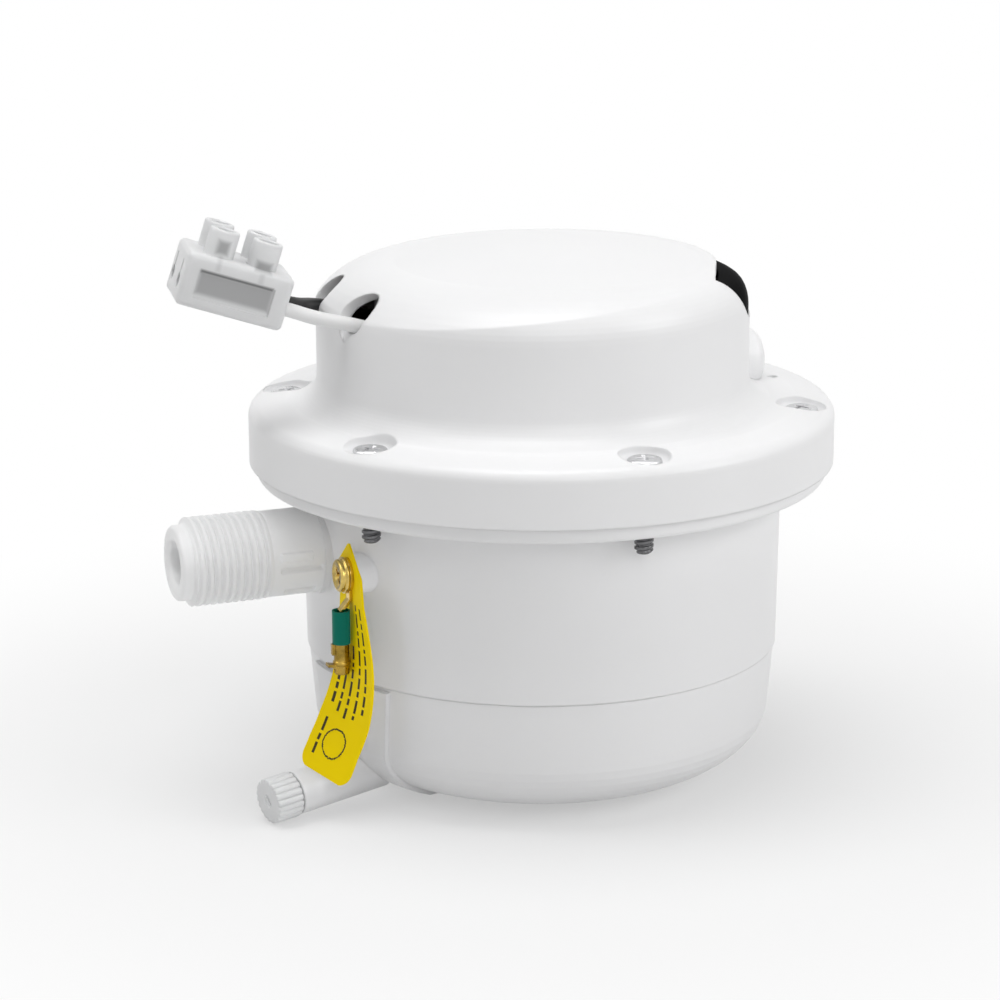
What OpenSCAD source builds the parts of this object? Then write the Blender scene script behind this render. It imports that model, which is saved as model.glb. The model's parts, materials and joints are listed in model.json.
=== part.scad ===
// Instantaneous electric water heater: a wet vessel hung from its inlet, under a dry domed cover.
// The inlet points along -X, the selector is at +X, and the spray face at the bottom is the origin.

/* [Vessel] */
// Radius of the vessel wall under the flange
vessel_r_top = 57.5; // [56:0.1:59]
// Radius of the vessel wall at the seam
vessel_r_seam = 56.9; // [56:0.1:58]
// Thickness of the vessel wall
vessel_wall = 2.8; // [2:0.1:3.5]
// Height of the seam between vessel and bowl
seam_z = 32.6; // [30:0.1:36]

/* [Outlet bowl] */
// Radius of the bowl at the seam
bowl_r_seam = 56.5; // [55:0.1:57]
// Radius of the bowl where its round bottom begins
bowl_r_low = 55.2; // [54:0.1:56]
// Width of the round bottom edge
bowl_edge_w = 26.5; // [20:0.5:30]
// Height of the round bottom edge
bowl_edge_h = 16.1; // [12:0.1:18]
// Height of the bowl's flat bottom above the spray face
bowl_lift = 1.5; // [1:0.1:3]
// Thickness of the bowl wall
bowl_wall = 2.2; // [1.8:0.1:3]

/* [Flange] */
// Outer radius of the cover's flange
flange_r = 70; // [68:0.5:72]
// Height of the flange's parting line
parting_z = 77.7; // [77:0.1:78.5]
// Height of the flange's top edge
flange_top_z = 91.4; // [91:0.1:93]
// Number of flange screws
screw_count = 6; // [6:1:6]
// Radius of the screw circle
screw_circle_r = 62.2; // [61.5:0.1:63]

/* [Dome] */
// Radius of the dome's upright wall
dome_r = 51.5; // [50:0.1:53]
// Offset of the upright wall towards the inlet
dome_shift = 2.2; // [0:0.1:3]
// Height of the dome's shoulder
dome_top_z = 125.1; // [124:0.1:127]
// Rise of the crown above the shoulder
dome_crown = 3; // [1:0.5:4]
// Thickness of the dome
dome_wall = 2.6; // [2:0.1:3]

/* [Inlet] */
// Height of the inlet's axis
inlet_z = 59.9; // [58:0.1:62]
// Major diameter of the G1/2 male thread
thread_d = 20.955; // [20.955:0.001:20.955]
// Length of the thread
thread_len = 19; // [16:0.5:20]
// Diameter of the inlet bore
inlet_bore_d = 10; // [8:0.5:12]

/* [Spigot] */
// Outer diameter of the spigot tube
spigot_d = 10.4; // [10:0.1:10.6]
// Angle of the spigot from the inlet, seen from above
spigot_turn = 14.3; // [12:0.1:16]
// Downward slope of the spigot
spigot_slope = 5; // [4:0.5:6]
// Number of flutes on the spigot cap
flute_count = 20; // [16:1:24]

/* [Terminal block] */
// Length of the block along the leads
block_len = 24.6; // [24:0.1:26]
// Height of the block's body
block_h = 12; // [11:0.1:13]
// Distance between the two poles
pole_pitch = 9.8; // [9.6:0.1:10.2]
// Upward slope of the block
block_slope = 18; // [17:0.5:19]
// Outer diameter of a lead
lead_d = 3.3; // [3:0.1:3.6]

/* [Heating element] */
// Radius of the circle that the coil follows
coil_path_r = 33; // [32:0.5:34]
// Outer radius of the coil
coil_r = 3.4; // [3:0.1:3.6]
// Turns of the coil
coil_turns = 30; // [20:1:36]

/* [Hidden] */
$fn = 64;
eps = 0.01;

// Vessel and flange
lip_r = 68.2;
lip_z = 74.1;
vessel_top_z = 84;
lid_z = 81;
lid_r = 54.2;
vessel_floor_z = 38;
vessel_floor_t = 2.5;
water_way_x = [-20, 20];
water_way_r = 6;
socket_root_x = -48;
clear_x = [-62, -40];
lip_edge_r = 1;
vessel_inner_r = vessel_r_seam - vessel_wall;
rebate_r = 54;
tongue_gap = 0.15;
fit_gap = 0.05;
seam_gap = 0.15;
tongue_len = 7;
seal_t = 1.9;
rebate_z = seam_z - tongue_len - seal_t - 0.2;
gasket_t = 2;
cover_seat_z = vessel_top_z + gasket_t;
screw_shank_r = 2.2;
screw_hole_r = 2.25;
screw_tip_z = 69.4;
screw_head_r = 4;
head_seat_z = 90;
head_h = 1.8;
head_rim_h = 0.8;
slot_floor = 0.6;
dish_floor_r = 4.3;
dish_edge = 1.6;
flange_crown_r = 61;
flange_crown = 1;
screw_clearance_r = 2.5;

// Outlet bowl
flat_r = bowl_r_low - bowl_edge_w;
plate_r = 22;
plate_seat_r = 19;
plate_edge = 0.7;
plate_fit = 0.1;
plate_collar_z = 5;
plate_t = 2.1;
jet_r = 0.7;
seal_inner_r = 51.2;
pad_proud = 1.1;
pad_top_half = 15.3;
pad_foot_half = 11;

// Dome: an upright wall and a wider shoulder round a second axis
shoulder_shift = 1.5;
shoulder_r = 57;
shoulder_w = 20.5;
shoulder_h = 15;
wall_edge_w = 9.7;
wall_edge_h = 9.9;
foot_fillet = 6;
flange_edge_r = 3;
skirt_inner_r = 54;
skirt_gap = 0.2;
dome_root_r = 46;
scoop_y = 12;
scoop_r = 5.2;
scoop_x = -50;
scoop_z = 118.4;
scoop_slope = 20;
dimple_z = 114.6;
front_boss_r = 7.5;
front_boss_x = 56.6;
front_boss_root_x = 44;
drain_at = [59.3, -4];
drain_r = 1.2;
front_boss_z = 97;
boss_edge_r = 3.2;

// Selector and its pocket
pocket_half = 33.2;
pocket_z = 112.6;
pocket_inner_r = 43.4;
// Flat flanks of the pocket's inner wall, in plan
flank_top = [37, 18.1];
flank_foot = [28.4, 37];
pocket_corner_r = 10;
front_x = [10, 70];
front_h = 20;
core_z = [90, 140];
selector_gap = 0.35;
selector_swing = 18;
paddle_end_y = 10;
paddle_gap = 0.5;
shutter_half_span = 45;
// Half section of the shutter, an apron with a rim that turns in to the arm
shutter_section = [
    [46.2, 110.6], [48.4, 110.6], [48.4, 116.8], [47.2, 118.6], [45.6, 119.6],
    [40.2, 119.6], [40.2, 118], [46.2, 118]
];
arm = [44, 14, 2.2];
arm_z = 116.4;
arm_rib = [40, 2, 3];
hub_r = 6;
hub_z = [112, 118.6];
clip_r = 4.6;
clip_z = [118.9, 119.7];
pivot_r = 2.5;
pivot_fit = 0.05;

// Inside
base_z = 104;
base_t = 3;
base_r = 40;
base_boss_r = 36;
base_boss_outer_r = 3.5;
base_screw_depth = 9;
base_boss_angles = [75, 180, 285];
post_angles = [-15, 15];
post_r = 1.6;
coil_z = 54;
wire_r = 0.5;
spring_r = 4.4;
plunger_stroke = 2.5;
bridge_z = 97;
bridge_t = 1.2;
bridge_hole_r = 1.5;
contact_y = 14;
contact_r = 2.4;
contact_h = 0.6;
rivet_r = 1.5;
plunger_r = 22;
chamber_port_r = 28.4;
spring_seat_r = 5.2;
spring_seat_h = 1.2;
pivot_top_z = 120.4;
pivot_boss_r = 5;
pivot_boss_z = 111.8;
base_shank_r = 1.5;
post_fit = 0.05;
support_t = 2;

// Inlet
inlet_end_x = -91.9;
nose_len = 2.7;
nose_r = 8.9;
neck_seat_x = -58.2;
neck_root_x = -51.4;
neck_r = 10.2;
socket_r = 10.6;
// Tilt, width, start past the thread and length of each line along the neck
neck_grooves = [[-10, 1.1, 1.4, 10], [-49.5, 2, 3.2, 7.2]];
neck_groove_depth = 1.1;
neck_rib = [8, 1.9, 1.4, 7.6];
neck_rib_proud = 0.3;
mouth_chamfer = 1;
stem_r = 8;
seal_seat_r = 9.1;
seal_seat_len = 1.5;
bore_step_x = -70;
inner_bore_r = 4;
filter_x = [-66, -62];
filter_wall = 0.8;
filter_hole_r = 0.7;

// Spigot, measured out from the axis
spigot_dir = [-cos(spigot_turn), -sin(spigot_turn), 0];
spigot_joint = 71.6;
spigot_joint_z = 6.4;
spigot_cap_len = 7;
spigot_thread_r = 4;
spigot_thread_len = 5;
spigot_bore_r = 2.6;
cap_r = 5.4;
cap_gap = 0.35;
cap_end_t = 1.4;
flute_r = 0.6;

// Earth terminal
earth_y = -22;
earth_z = 59.4;
earth_boss_r = 4.6;
earth_face_x = -56;
earth_shank_r = 2;
screw_clear_r = 2.2;
tag_t = 0.5;
lug_t = 0.8;
earth_flange_r = 4.3;
earth_flange_t = 0.7;
earth_head_r = 3.7;
earth_head_h = 2.2;
earth_rim_r = 0.9;
earth_shank_end_x = -44;
barrel_x = -59.1;
barrel_y = -2;
barrel_r = 1.8;
barrel_bore_r = 1.3;
barrel_bore_len = 7;
barrel_z = -22.8;
barrel_len = 12.9;
sleeve_z = 43.8;
sleeve_len = 7.9;
sleeve_r = 2.1;
lug_ring_r = 4.1;
lug_strip_w = 2.2;
lug_strip_y = -1.6;
lug_tab = [3, 2.2, 0.7];
lug_tab_z = -20.8;
lug_ear = [0.8, 1.2, 2.6];
lug_ear_z = -18.2;
tag_half = 8;
tag_top_z = 66.7;
tag_tip_half = 0.5;
tag_corner_r = 3;
tag_rows = 36;
tag_foot_z = 11.6;
tag_full_z = 60.5;
tag_corner_z = 14.5;
tag_bow = 3.2;
tag_bow_z = [18, 62];
tag_lean_max = 0.19;
tag_hang_r = 66;
tag_bend_z = 42;
tag_twist_z = 54;
tag_twist = 24;
tag_twist_len = 29;
tag_lean_len = 30;

// Terminal block: the foot of its lead side, on its centre plane
block_foot = [-67.5, -3, 116];
block_yaw = 9;
pole_h = 4.2;
block_half_w = pole_pitch / 2 + 4.6;
insert_w = 6.6;
insert_h = 6.8;
insert_gap = 0.05;
insert_inset = 2;
insert_wall_x = [10, 12.4];
tower_r = 3.5;
tower_bore_r = 2.3;
tower_h = 6.2;
tower_pitch = 10.2;
port_r = 1.8;
entry_r = 2.1;
entry_rise = 1.1;
block_corner_r = 1.3;
window_depth = 0.6;
window_inset = 3.4;
window_foot = 2;
window_h = 6.4;
terminal_screw_r = 1.5;
terminal_hole_r = 1.55;
terminal_head_r = 2.1;
terminal_head_h = 3.5;
// Height of the screw heads over the poles: lead side, outer side
terminal_head_z = [6.9, 8.5];
terminal_slot = [5, 0.8, 1];

// Routes of the two leads, from their inner terminals to the block
white_route = [
    [-26, -16, 109.2], [-31, -16, 109.6], [-37, -15.4, 111.2], [-44, -13.6, 113.4], [-50.5, -12, 115.4],
    [-56, -10.6, 116.6], [-60.5, -9.4, 117.8], [-64.2, -8.5, 119.1], [-67, -8, 120], [-71.4, -7.3, 121.5]
];
black_route = [
    [-26, 16, 109.2], [-31, 16, 109.6], [-38, 15.4, 111.3], [-45, 13.4, 113.6], [-51, 10.4, 115.7],
    [-55.5, 7, 117], [-59.2, 3.4, 118], [-62.6, 1.3, 119.1], [-65.5, 1.6, 120], [-69.9, 2.3, 121.5]
];

function arc_points(cx, cz, rx, rz, a0, a1, n) =
    [for (i = [0:n]) let (a = a0 + (a1 - a0) * i / n) [cx + rx * cos(a), cz + rz * sin(a)]];

// Half section of a domed drum: round shoulder, then a shallow crown
function drum_points(r, edge_w, edge_h, top, crown, foot) = concat(
    [[0, foot], [r, foot]],
    arc_points(r - edge_w, top - edge_h, edge_w, edge_h, 0, 90, 12),
    [for (i = [1:6]) let (s = 1 - i / 6) [(r - edge_w) * s, top + crown * (1 - s * s)]]
);

function unit(v) = v / norm(v);
function along(p, i) = unit(p[min(i + 1, len(p) - 1)] - p[max(i - 1, 0)]);

// One ring of a tube round the point c: t is the tube's direction, and side is any vector across it
function ring(c, t, side, r, sides) = let (u = unit(cross(t, side)), v = cross(t, u))
    [for (k = [0:sides - 1]) c + r * (cos(360 * k / sides) * u + sin(360 * k / sides) * v)];

// Skin of rows of points that follow each other, row_len to a row, closed at both ends
function row_skin(rows, row_len) = concat(
    [for (i = [0:rows - 2]) for (k = [0:row_len - 1])
        let (a = i * row_len, b = a + row_len, m = (k + 1) % row_len)
        each [[a + k, a + m, b + m], [a + k, b + m, b + k]]],
    [[for (k = [row_len - 1:-1:0]) k], [for (k = [0:row_len - 1]) (rows - 1) * row_len + k]]
);

module tube_along(p, across, r, sides) {
    points = [for (i = [0:len(p) - 1]) each ring(p[i], along(p, i), across[i], r, sides)];
    polyhedron(points, row_skin(len(p), sides), convexity = 10);
}

module disc_at(r, z0, z1) {
    translate([0, 0, z0]) cylinder(r = r, h = z1 - z0);
}

module rod_x(r, x0, x1) {
    translate([x0, 0, 0]) rotate([0, 90, 0]) cylinder(r = r, h = x1 - x0);
}

module at_screws() {
    for (i = [0:screw_count - 1])
        rotate([0, 0, 30 + i * 360 / screw_count]) translate([screw_circle_r, 0, 0]) children();
}

module at_inlet() {
    translate([0, 0, inlet_z]) children();
}

// The spigot's own frame: +X runs out along the spigot from its joint with the cap
module at_spigot() {
    translate(spigot_joint * spigot_dir + [0, 0, spigot_joint_z])
        rotate([0, 0, 180 + spigot_turn]) rotate([0, spigot_slope, 0]) children();
}

module at_earth() {
    translate([0, earth_y, earth_z]) children();
}

// The block's own frame: +X runs up along the block from its lead side
module at_block() {
    translate(block_foot) rotate([0, 0, 180 - block_yaw]) rotate([0, -block_slope, 0]) children();
}

module at_poles() {
    for (side = [-1, 1]) translate([0, side * pole_pitch / 2, 0]) children();
}

module vessel() {
    bore_at_floor = vessel_inner_r;
    bore_at_top = vessel_r_top - vessel_wall;
    color("white") difference() {
        union() {
            rotate_extrude($fn = 128) polygon(concat(
                [[0, seam_z + seam_gap], [vessel_r_seam, seam_z + seam_gap], [vessel_r_top, lip_z - 2]],
                [[vessel_r_top + 0.6, lip_z - 0.6], [vessel_r_top + 2, lip_z]],
                arc_points(lip_r - lip_edge_r, lip_z + lip_edge_r, lip_edge_r, lip_edge_r, -90, 0, 4),
                [[lip_r, vessel_top_z], [0, vessel_top_z]]
            ));
            disc_at(rebate_r - tongue_gap, seam_z - tongue_len, seam_z + 1);
            at_earth() rod_x(earth_boss_r, earth_face_x, socket_root_x);
            at_inlet() rod_x(socket_r, neck_seat_x, socket_root_x);
        }
        // Heating chamber and the ledge of its lid
        rotate_extrude() polygon([
            [0, vessel_floor_z + vessel_floor_t], [bore_at_floor, vessel_floor_z + vessel_floor_t],
            [bore_at_top - 1.5, lid_z - 0.1], [bore_at_top - 0.4, lid_z - 0.1],
            [bore_at_top - 0.4, vessel_top_z + 1], [0, vessel_top_z + 1]
        ]);
        // Underside of the floor
        disc_at(vessel_inner_r - 2.2, seam_z - tongue_len - 1, vessel_floor_z);
        // Way down to the bowl
        for (x = water_way_x) translate([x, 0, 0])
            disc_at(water_way_r, vessel_floor_z - 1, vessel_floor_z + vessel_floor_t + 1);
        at_inlet() {
            rod_x(stem_r + fit_gap, clear_x[0], clear_x[1]);
            rod_x(seal_seat_r, clear_x[0], neck_seat_x + seal_seat_len);
        }
        at_earth() rod_x(earth_shank_r + fit_gap, clear_x[0], clear_x[1]);
        at_screws() disc_at(screw_hole_r, lip_z - 3, vessel_top_z + 1);
    }
}

module bowl_profile(grow, foot) {
    polygon(concat(
        [[0, foot]],
        arc_points(flat_r, bowl_lift + bowl_edge_h, bowl_edge_w + grow, bowl_edge_h + grow, -90, 0, 12),
        [[bowl_r_seam + grow, seam_z], [0, seam_z]]
    ));
}

module outlet_bowl() {
    color("white") difference() {
        union() {
            rotate_extrude($fn = 128) bowl_profile(0, bowl_lift);
            // Pad round the spigot, narrower towards its foot
            intersection() {
                rotate_extrude($fn = 128) bowl_profile(pad_proud, bowl_lift - pad_proud);
                rotate([0, 0, 180 + spigot_turn]) rotate([90, 0, 90]) linear_extrude(70) polygon([
                    [-pad_foot_half, bowl_lift + 1], [pad_foot_half, bowl_lift + 1],
                    [pad_top_half, seam_z - 0.8], [-pad_top_half, seam_z - 0.8]
                ]);
            }
            at_spigot() rod_x(spigot_d / 2, -24, 0);
            at_spigot() rod_x(spigot_thread_r, -2, spigot_thread_len);
        }
        // Inside of the bowl and the rebate for the vessel's tongue
        rotate_extrude($fn = 128) polygon(concat(
            [[0, bowl_lift + bowl_wall]],
            arc_points(flat_r, bowl_lift + bowl_edge_h, bowl_edge_w - bowl_wall, bowl_edge_h - bowl_wall,
                -90, 0, 12),
            [[bowl_r_low - bowl_wall, rebate_z], [rebate_r, rebate_z]],
            [[rebate_r, seam_z + 1], [0, seam_z + 1]]
        ));
        disc_at(plate_seat_r, 0, 10);
        at_spigot() rod_x(spigot_bore_r, -32, spigot_thread_len + 1);
    }
}

module spray_plate() {
    rings = [[5, 6], [9.5, 12], [14, 18]];
    color("gainsboro") difference() {
        rotate_extrude() polygon([
            [0, 0], [plate_r - plate_edge, 0], [plate_r, plate_edge], [plate_r, bowl_lift],
            [plate_seat_r - plate_fit, bowl_lift], [plate_seat_r - plate_fit, plate_collar_z],
            [plate_seat_r - plate_t, plate_collar_z], [plate_seat_r - plate_t, plate_t], [0, plate_t]
        ]);
        for (row = rings) for (i = [0:row[1] - 1])
            rotate([0, 0, i * 360 / row[1]]) translate([row[0], 0, -1]) cylinder(r = jet_r, h = 5, $fn = 24);
    }
}

module ring_band(r0, r1, z0, z1) {
    rotate_extrude() translate([r0, z0]) square([r1 - r0, z1 - z0]);
}

module bowl_seal() {
    top_z = seam_z - tongue_len;
    color("dimgray") ring_band(seal_inner_r, rebate_r - 0.1, top_z - seal_t, top_z);
}

// Both sides of the neck, at one line's tilt and start and at radius r
module on_neck(line, r) {
    for (side = [-1, 1]) rotate([side * (90 - line[0]), 0, 0])
        translate([inlet_end_x + nose_len + thread_len + line[2], -line[1] / 2, r]) children();
}

module inlet_nipple() {
    step_x = inlet_end_x + nose_len;
    thread_x = step_x + thread_len;
    color("ghostwhite") at_inlet() difference() {
        union() {
            rod_x(nose_r, inlet_end_x, step_x + 1);
            rod_x(thread_d / 2, step_x, thread_x);
            rod_x(neck_r, thread_x - 1, neck_seat_x);
            rod_x(stem_r, neck_seat_x - 1, neck_root_x);
            on_neck(neck_rib, neck_r - 1) cube([neck_rib[3], neck_rib[1], 1 + neck_rib_proud]);
        }
        rod_x(inlet_bore_d / 2, inlet_end_x - 1, bore_step_x);
        rod_x(inner_bore_r, bore_step_x - 1, neck_root_x + 1);
        // Chamfer of the mouth
        translate([inlet_end_x - eps, 0, 0]) rotate([0, 90, 0])
            cylinder(r1 = inlet_bore_d / 2 + mouth_chamfer, r2 = inlet_bore_d / 2, h = mouth_chamfer);
        for (line = neck_grooves) on_neck(line, neck_r - neck_groove_depth)
            cube([line[3], line[1], neck_groove_depth + 1]);
    }
}

module inlet_seal() {
    color("dimgray") at_inlet() rotate([0, 90, 0])
        ring_band(stem_r + fit_gap, seal_seat_r - fit_gap, neck_seat_x + eps,
            neck_seat_x + seal_seat_len - eps);
}

module inlet_filter() {
    hole_circle_r = 2.1;
    color("lightgray") at_inlet() difference() {
        rod_x(inner_bore_r - fit_gap, filter_x[0], filter_x[1]);
        rod_x(inner_bore_r - filter_wall, filter_x[0] + 1, filter_x[1] + 1);
        for (i = [0:5]) rotate([i * 60, 0, 0]) translate([0, hole_circle_r, 0])
            rod_x(filter_hole_r, filter_x[0] - 1, filter_x[1]);
        rod_x(filter_hole_r, filter_x[0] - 1, filter_x[1]);
    }
}

module dome_body(inset) {
    intersection() {
        translate([-dome_shift, 0, 0]) rotate_extrude($fn = 128)
            polygon(drum_points(dome_r - inset, wall_edge_w - inset, wall_edge_h - inset,
                dome_top_z - inset, dome_crown, cover_seat_z));
        translate([shoulder_shift, 0, 0]) rotate_extrude($fn = 128)
            polygon(drum_points(shoulder_r - inset, shoulder_w - inset, shoulder_h - inset,
                dome_top_z - inset, dome_crown, cover_seat_z));
    }
}

// Block with round lower corners that reaches out through the front shoulder
module front_window(y0, y1, foot, corner_r) {
    translate([front_x[0], 0, 0]) rotate([90, 0, 90]) linear_extrude(front_x[1] - front_x[0]) union() {
        translate([y0, foot + corner_r]) square([y1 - y0, front_h]);
        translate([y0 + corner_r, foot]) square([y1 - y0 - 2 * corner_r, front_h]);
        for (y = [y0 + corner_r, y1 - corner_r]) translate([y, foot + corner_r]) circle(r = corner_r);
    }
}

// Inner wall of the pocket: round in front, with a flat flank at each side
module pocket_core(grow) {
    translate([-dome_shift, 0, 0]) disc_at(pocket_inner_r + grow, core_z[0], core_z[1]);
    translate([0, 0, core_z[0]]) linear_extrude(core_z[1] - core_z[0]) polygon([
        [0, flank_foot[1] + grow], [flank_foot[0] + grow, flank_foot[1]],
        [flank_top[0] + grow, flank_top[1]], [flank_top[0] + grow, -flank_top[1]],
        [flank_foot[0] + grow, -flank_foot[1]], [0, -flank_foot[1] - grow]
    ]);
}

module selector_pocket() {
    difference() {
        front_window(-pocket_half, pocket_half, pocket_z, pocket_corner_r);
        pocket_core(0);
    }
}

module wire_scoop(y) {
    // Tunnel through the shoulder, and a dimple in the wall below it
    translate([scoop_x, y, scoop_z]) rotate([0, scoop_slope, 0]) rod_x(scoop_r, -14, 8);
    translate([scoop_x, y, dimple_z]) rotate([0, scoop_slope, 0]) rod_x(scoop_r - 0.6, -14, -1.4);
}

module cover() {
    fillet_z = flange_top_z + flange_crown + foot_fillet - 0.04;
    color("white") difference() {
        union() {
            rotate_extrude($fn = 128) polygon(concat(
                [[skirt_inner_r, parting_z], [flange_r, parting_z]],
                arc_points(flange_r - flange_edge_r, flange_top_z - flange_edge_r, flange_edge_r,
                    flange_edge_r, 0, 90, 6),
                [[flange_crown_r, flange_top_z + flange_crown],
                    [dome_root_r, flange_top_z + flange_crown], [dome_root_r, cover_seat_z]]
            ));
            dome_body(0);
            // Fillet at the dome's foot
            translate([-dome_shift, 0, 0]) rotate_extrude($fn = 128) polygon(concat(
                [[dome_root_r, cover_seat_z + 1], [dome_r + foot_fillet, cover_seat_z + 1]],
                arc_points(dome_r + foot_fillet, fillet_z, foot_fillet, foot_fillet, 270, 180, 10),
                [[dome_root_r, fillet_z]]
            ));
            // Round boss with a soft edge
            translate([0, 0, front_boss_z]) rotate([0, 90, 0]) rotate_extrude() polygon(concat(
                [[0, front_boss_root_x], [front_boss_r, front_boss_root_x]],
                arc_points(front_boss_r - boss_edge_r, front_boss_x - boss_edge_r, boss_edge_r, boss_edge_r,
                    0, 90, 6),
                [[0, front_boss_x]]
            ));
        }
        // Skirt over the vessel's flange
        disc_at(lip_r + skirt_gap, parting_z - 1, cover_seat_z);
        dome_body(dome_wall);
        for (side = [-1, 1]) wire_scoop(side * scoop_y);
        selector_pocket();
        at_screws() {
            // Dish with a soft floor edge
            rotate_extrude() polygon(concat(
                [[0, head_seat_z]],
                arc_points(dish_floor_r, head_seat_z + dish_edge, dish_edge, dish_edge, -90, 0, 6),
                [[dish_floor_r + dish_edge + 0.3, flange_top_z + 3], [0, flange_top_z + 3]]
            ));
            disc_at(screw_clearance_r, cover_seat_z - 1, head_seat_z + 1);
        }
        // Drain hole in the flange's top
        translate(drain_at) disc_at(drain_r, flange_top_z - 2, flange_top_z + 9);
    }
    color("white") for (a = base_boss_angles) translate([-dome_shift, 0, 0]) rotate([0, 0, a])
        translate([base_boss_r, 0, 0]) difference() {
            disc_at(base_boss_outer_r, base_z + base_t, dome_top_z - dome_wall + 0.4);
            disc_at(base_shank_r + fit_gap, base_z + base_t - 1, base_z + base_t + base_screw_depth + 1);
        }
}

module flange_screws() {
    slot = [4.4, 1, 3];
    color("silver") at_screws() difference() {
        union() {
            rotate_extrude($fn = 32) polygon(concat(
                [[0, head_seat_z], [screw_head_r, head_seat_z], [screw_head_r, head_seat_z + head_rim_h]],
                arc_points(0, head_seat_z + head_rim_h, screw_head_r, head_h - head_rim_h, 0, 90, 5)
            ));
            disc_at(screw_shank_r, screw_tip_z, head_seat_z + 0.5);
        }
        for (a = [20, 110]) rotate([0, 0, a])
            translate([-slot[0] / 2, -slot[1] / 2, head_seat_z + slot_floor]) cube(slot);
    }
}

module at_posts() {
    for (a = post_angles) rotate([0, 0, a]) translate([coil_path_r, 0, 0]) children();
}

module diaphragm() {
    color("dimgray") difference() {
        rotate_extrude($fn = 96) polygon(concat(
            [[0, vessel_top_z], [22, vessel_top_z], [23, vessel_top_z - 2], [25.5, vessel_top_z - 3]],
            [[27.6, vessel_top_z - 2], [28, vessel_top_z], [lip_r - 0.3, vessel_top_z]],
            [[lip_r - 0.3, cover_seat_z], [29, cover_seat_z], [27.5, cover_seat_z - 2.4]],
            [[25.5, cover_seat_z - 3.2], [24, cover_seat_z - 2.4], [23, cover_seat_z], [0, cover_seat_z]]
        ));
        at_screws() disc_at(screw_hole_r + 0.2, vessel_top_z - 1, cover_seat_z + 1);
        at_posts() disc_at(post_r + post_fit, vessel_top_z - 1, cover_seat_z + 1);
    }
}

module chamber_lid() {
    color("gainsboro") difference() {
        disc_at(lid_r, lid_z, vessel_top_z);
        disc_at(chamber_port_r, lid_z - 1, vessel_top_z + 1);
        at_posts() disc_at(post_r + post_fit, lid_z - 1, vessel_top_z + 1);
    }
}

module plunger() {
    plate_h = 2;
    rod_r = 3;
    rib = [18, 1.4, 3];
    color("ivory") union() {
        disc_at(plunger_r, cover_seat_z, cover_seat_z + plate_h);
        disc_at(rod_r, cover_seat_z + 1, bridge_z);
        disc_at(bridge_hole_r, bridge_z - 1, bridge_z + bridge_t);
        for (a = [0:45:315]) rotate([0, 0, a])
            translate([rod_r - 1, -rib[1] / 2, cover_seat_z + 1]) cube(rib);
    }
}

module contact_bridge() {
    bar = [8, 36, bridge_t];
    color("goldenrod") difference() {
        union() {
            translate([-bar[0] / 2, -bar[1] / 2, bridge_z]) cube(bar);
            for (side = [-1, 1]) translate([0, side * contact_y, 0])
                disc_at(contact_r, bridge_z, bridge_z + bridge_t + contact_h);
        }
        disc_at(bridge_hole_r, bridge_z - 1, bridge_z + 3);
    }
}

module fixed_contacts() {
    face_z = bridge_z + bridge_t + contact_h + plunger_stroke + 0.1;
    top_z = base_z + base_t;
    color("goldenrod") for (side = [-1, 1]) translate([0, side * contact_y, 0]) {
        disc_at(contact_r, face_z, base_z);
        disc_at(rivet_r, base_z - 1, top_z + 1);
        disc_at(rivet_r + 1.1, top_z, top_z + 1.2);
    }
}

module return_spring() {
    turns = 4;
    z0 = bridge_z + bridge_t + wire_r;
    z1 = base_z + spring_seat_h - wire_r;
    steps = turns * 16;
    path = [for (i = [0:steps]) let (a = i * 360 / 16)
        [spring_r * cos(a), spring_r * sin(a), z0 + (z1 - z0) * i / steps]];
    color("silver") tube_along(path, [for (q = path) [0, 0, 1]], wire_r, 6);
}

module contact_base() {
    top_z = base_z + base_t;
    color("saddlebrown") difference() {
        translate([-dome_shift, 0, 0]) union() {
            disc_at(base_r, base_z, top_z);
            disc_at(pivot_r, top_z - 1, pivot_top_z);
            disc_at(pivot_boss_r, top_z - 1, pivot_boss_z);
        }
        disc_at(spring_seat_r, base_z - 1, base_z + spring_seat_h);
        for (side = [-1, 1]) translate([0, side * contact_y, 0]) disc_at(rivet_r, base_z - 1, top_z + 1);
        at_posts() disc_at(post_r + post_fit, base_z - 1, top_z + 1);
        for (a = base_boss_angles) translate([-dome_shift, 0, 0]) rotate([0, 0, a])
            translate([base_boss_r, 0, 0]) disc_at(base_shank_r + 0.1, base_z - 1, top_z + 1);
    }
}

module base_screws() {
    head = [2.9, 1.9];
    slot = [6, 0.8, 1.4];
    color("silver") for (a = base_boss_angles) translate([-dome_shift, 0, 0]) rotate([0, 0, a])
        translate([base_boss_r, 0, 0]) difference() {
            union() {
                disc_at(head[0], base_z - head[1], base_z);
                disc_at(base_shank_r, base_z - 0.5, base_z + base_t + base_screw_depth);
            }
            translate([-slot[0] / 2, -slot[1] / 2, base_z - head[1] - 0.6]) cube(slot);
        }
}

module supply_terminals() {
    body = [10, 6.8, 5.2];
    color("goldenrod") for (side = [-1, 1]) translate([-22, side * 16, base_z + base_t]) difference() {
        translate([-4, -body[1] / 2, 0]) cube(body);
        // Socket of the lead, with a clamp hole above it
        translate([0, 0, 2.2]) rod_x(lead_d / 2 + fit_gap, -5, 2);
        translate([2, 0, 0]) disc_at(1.4, 2, body[2] + 1);
    }
}

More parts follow.
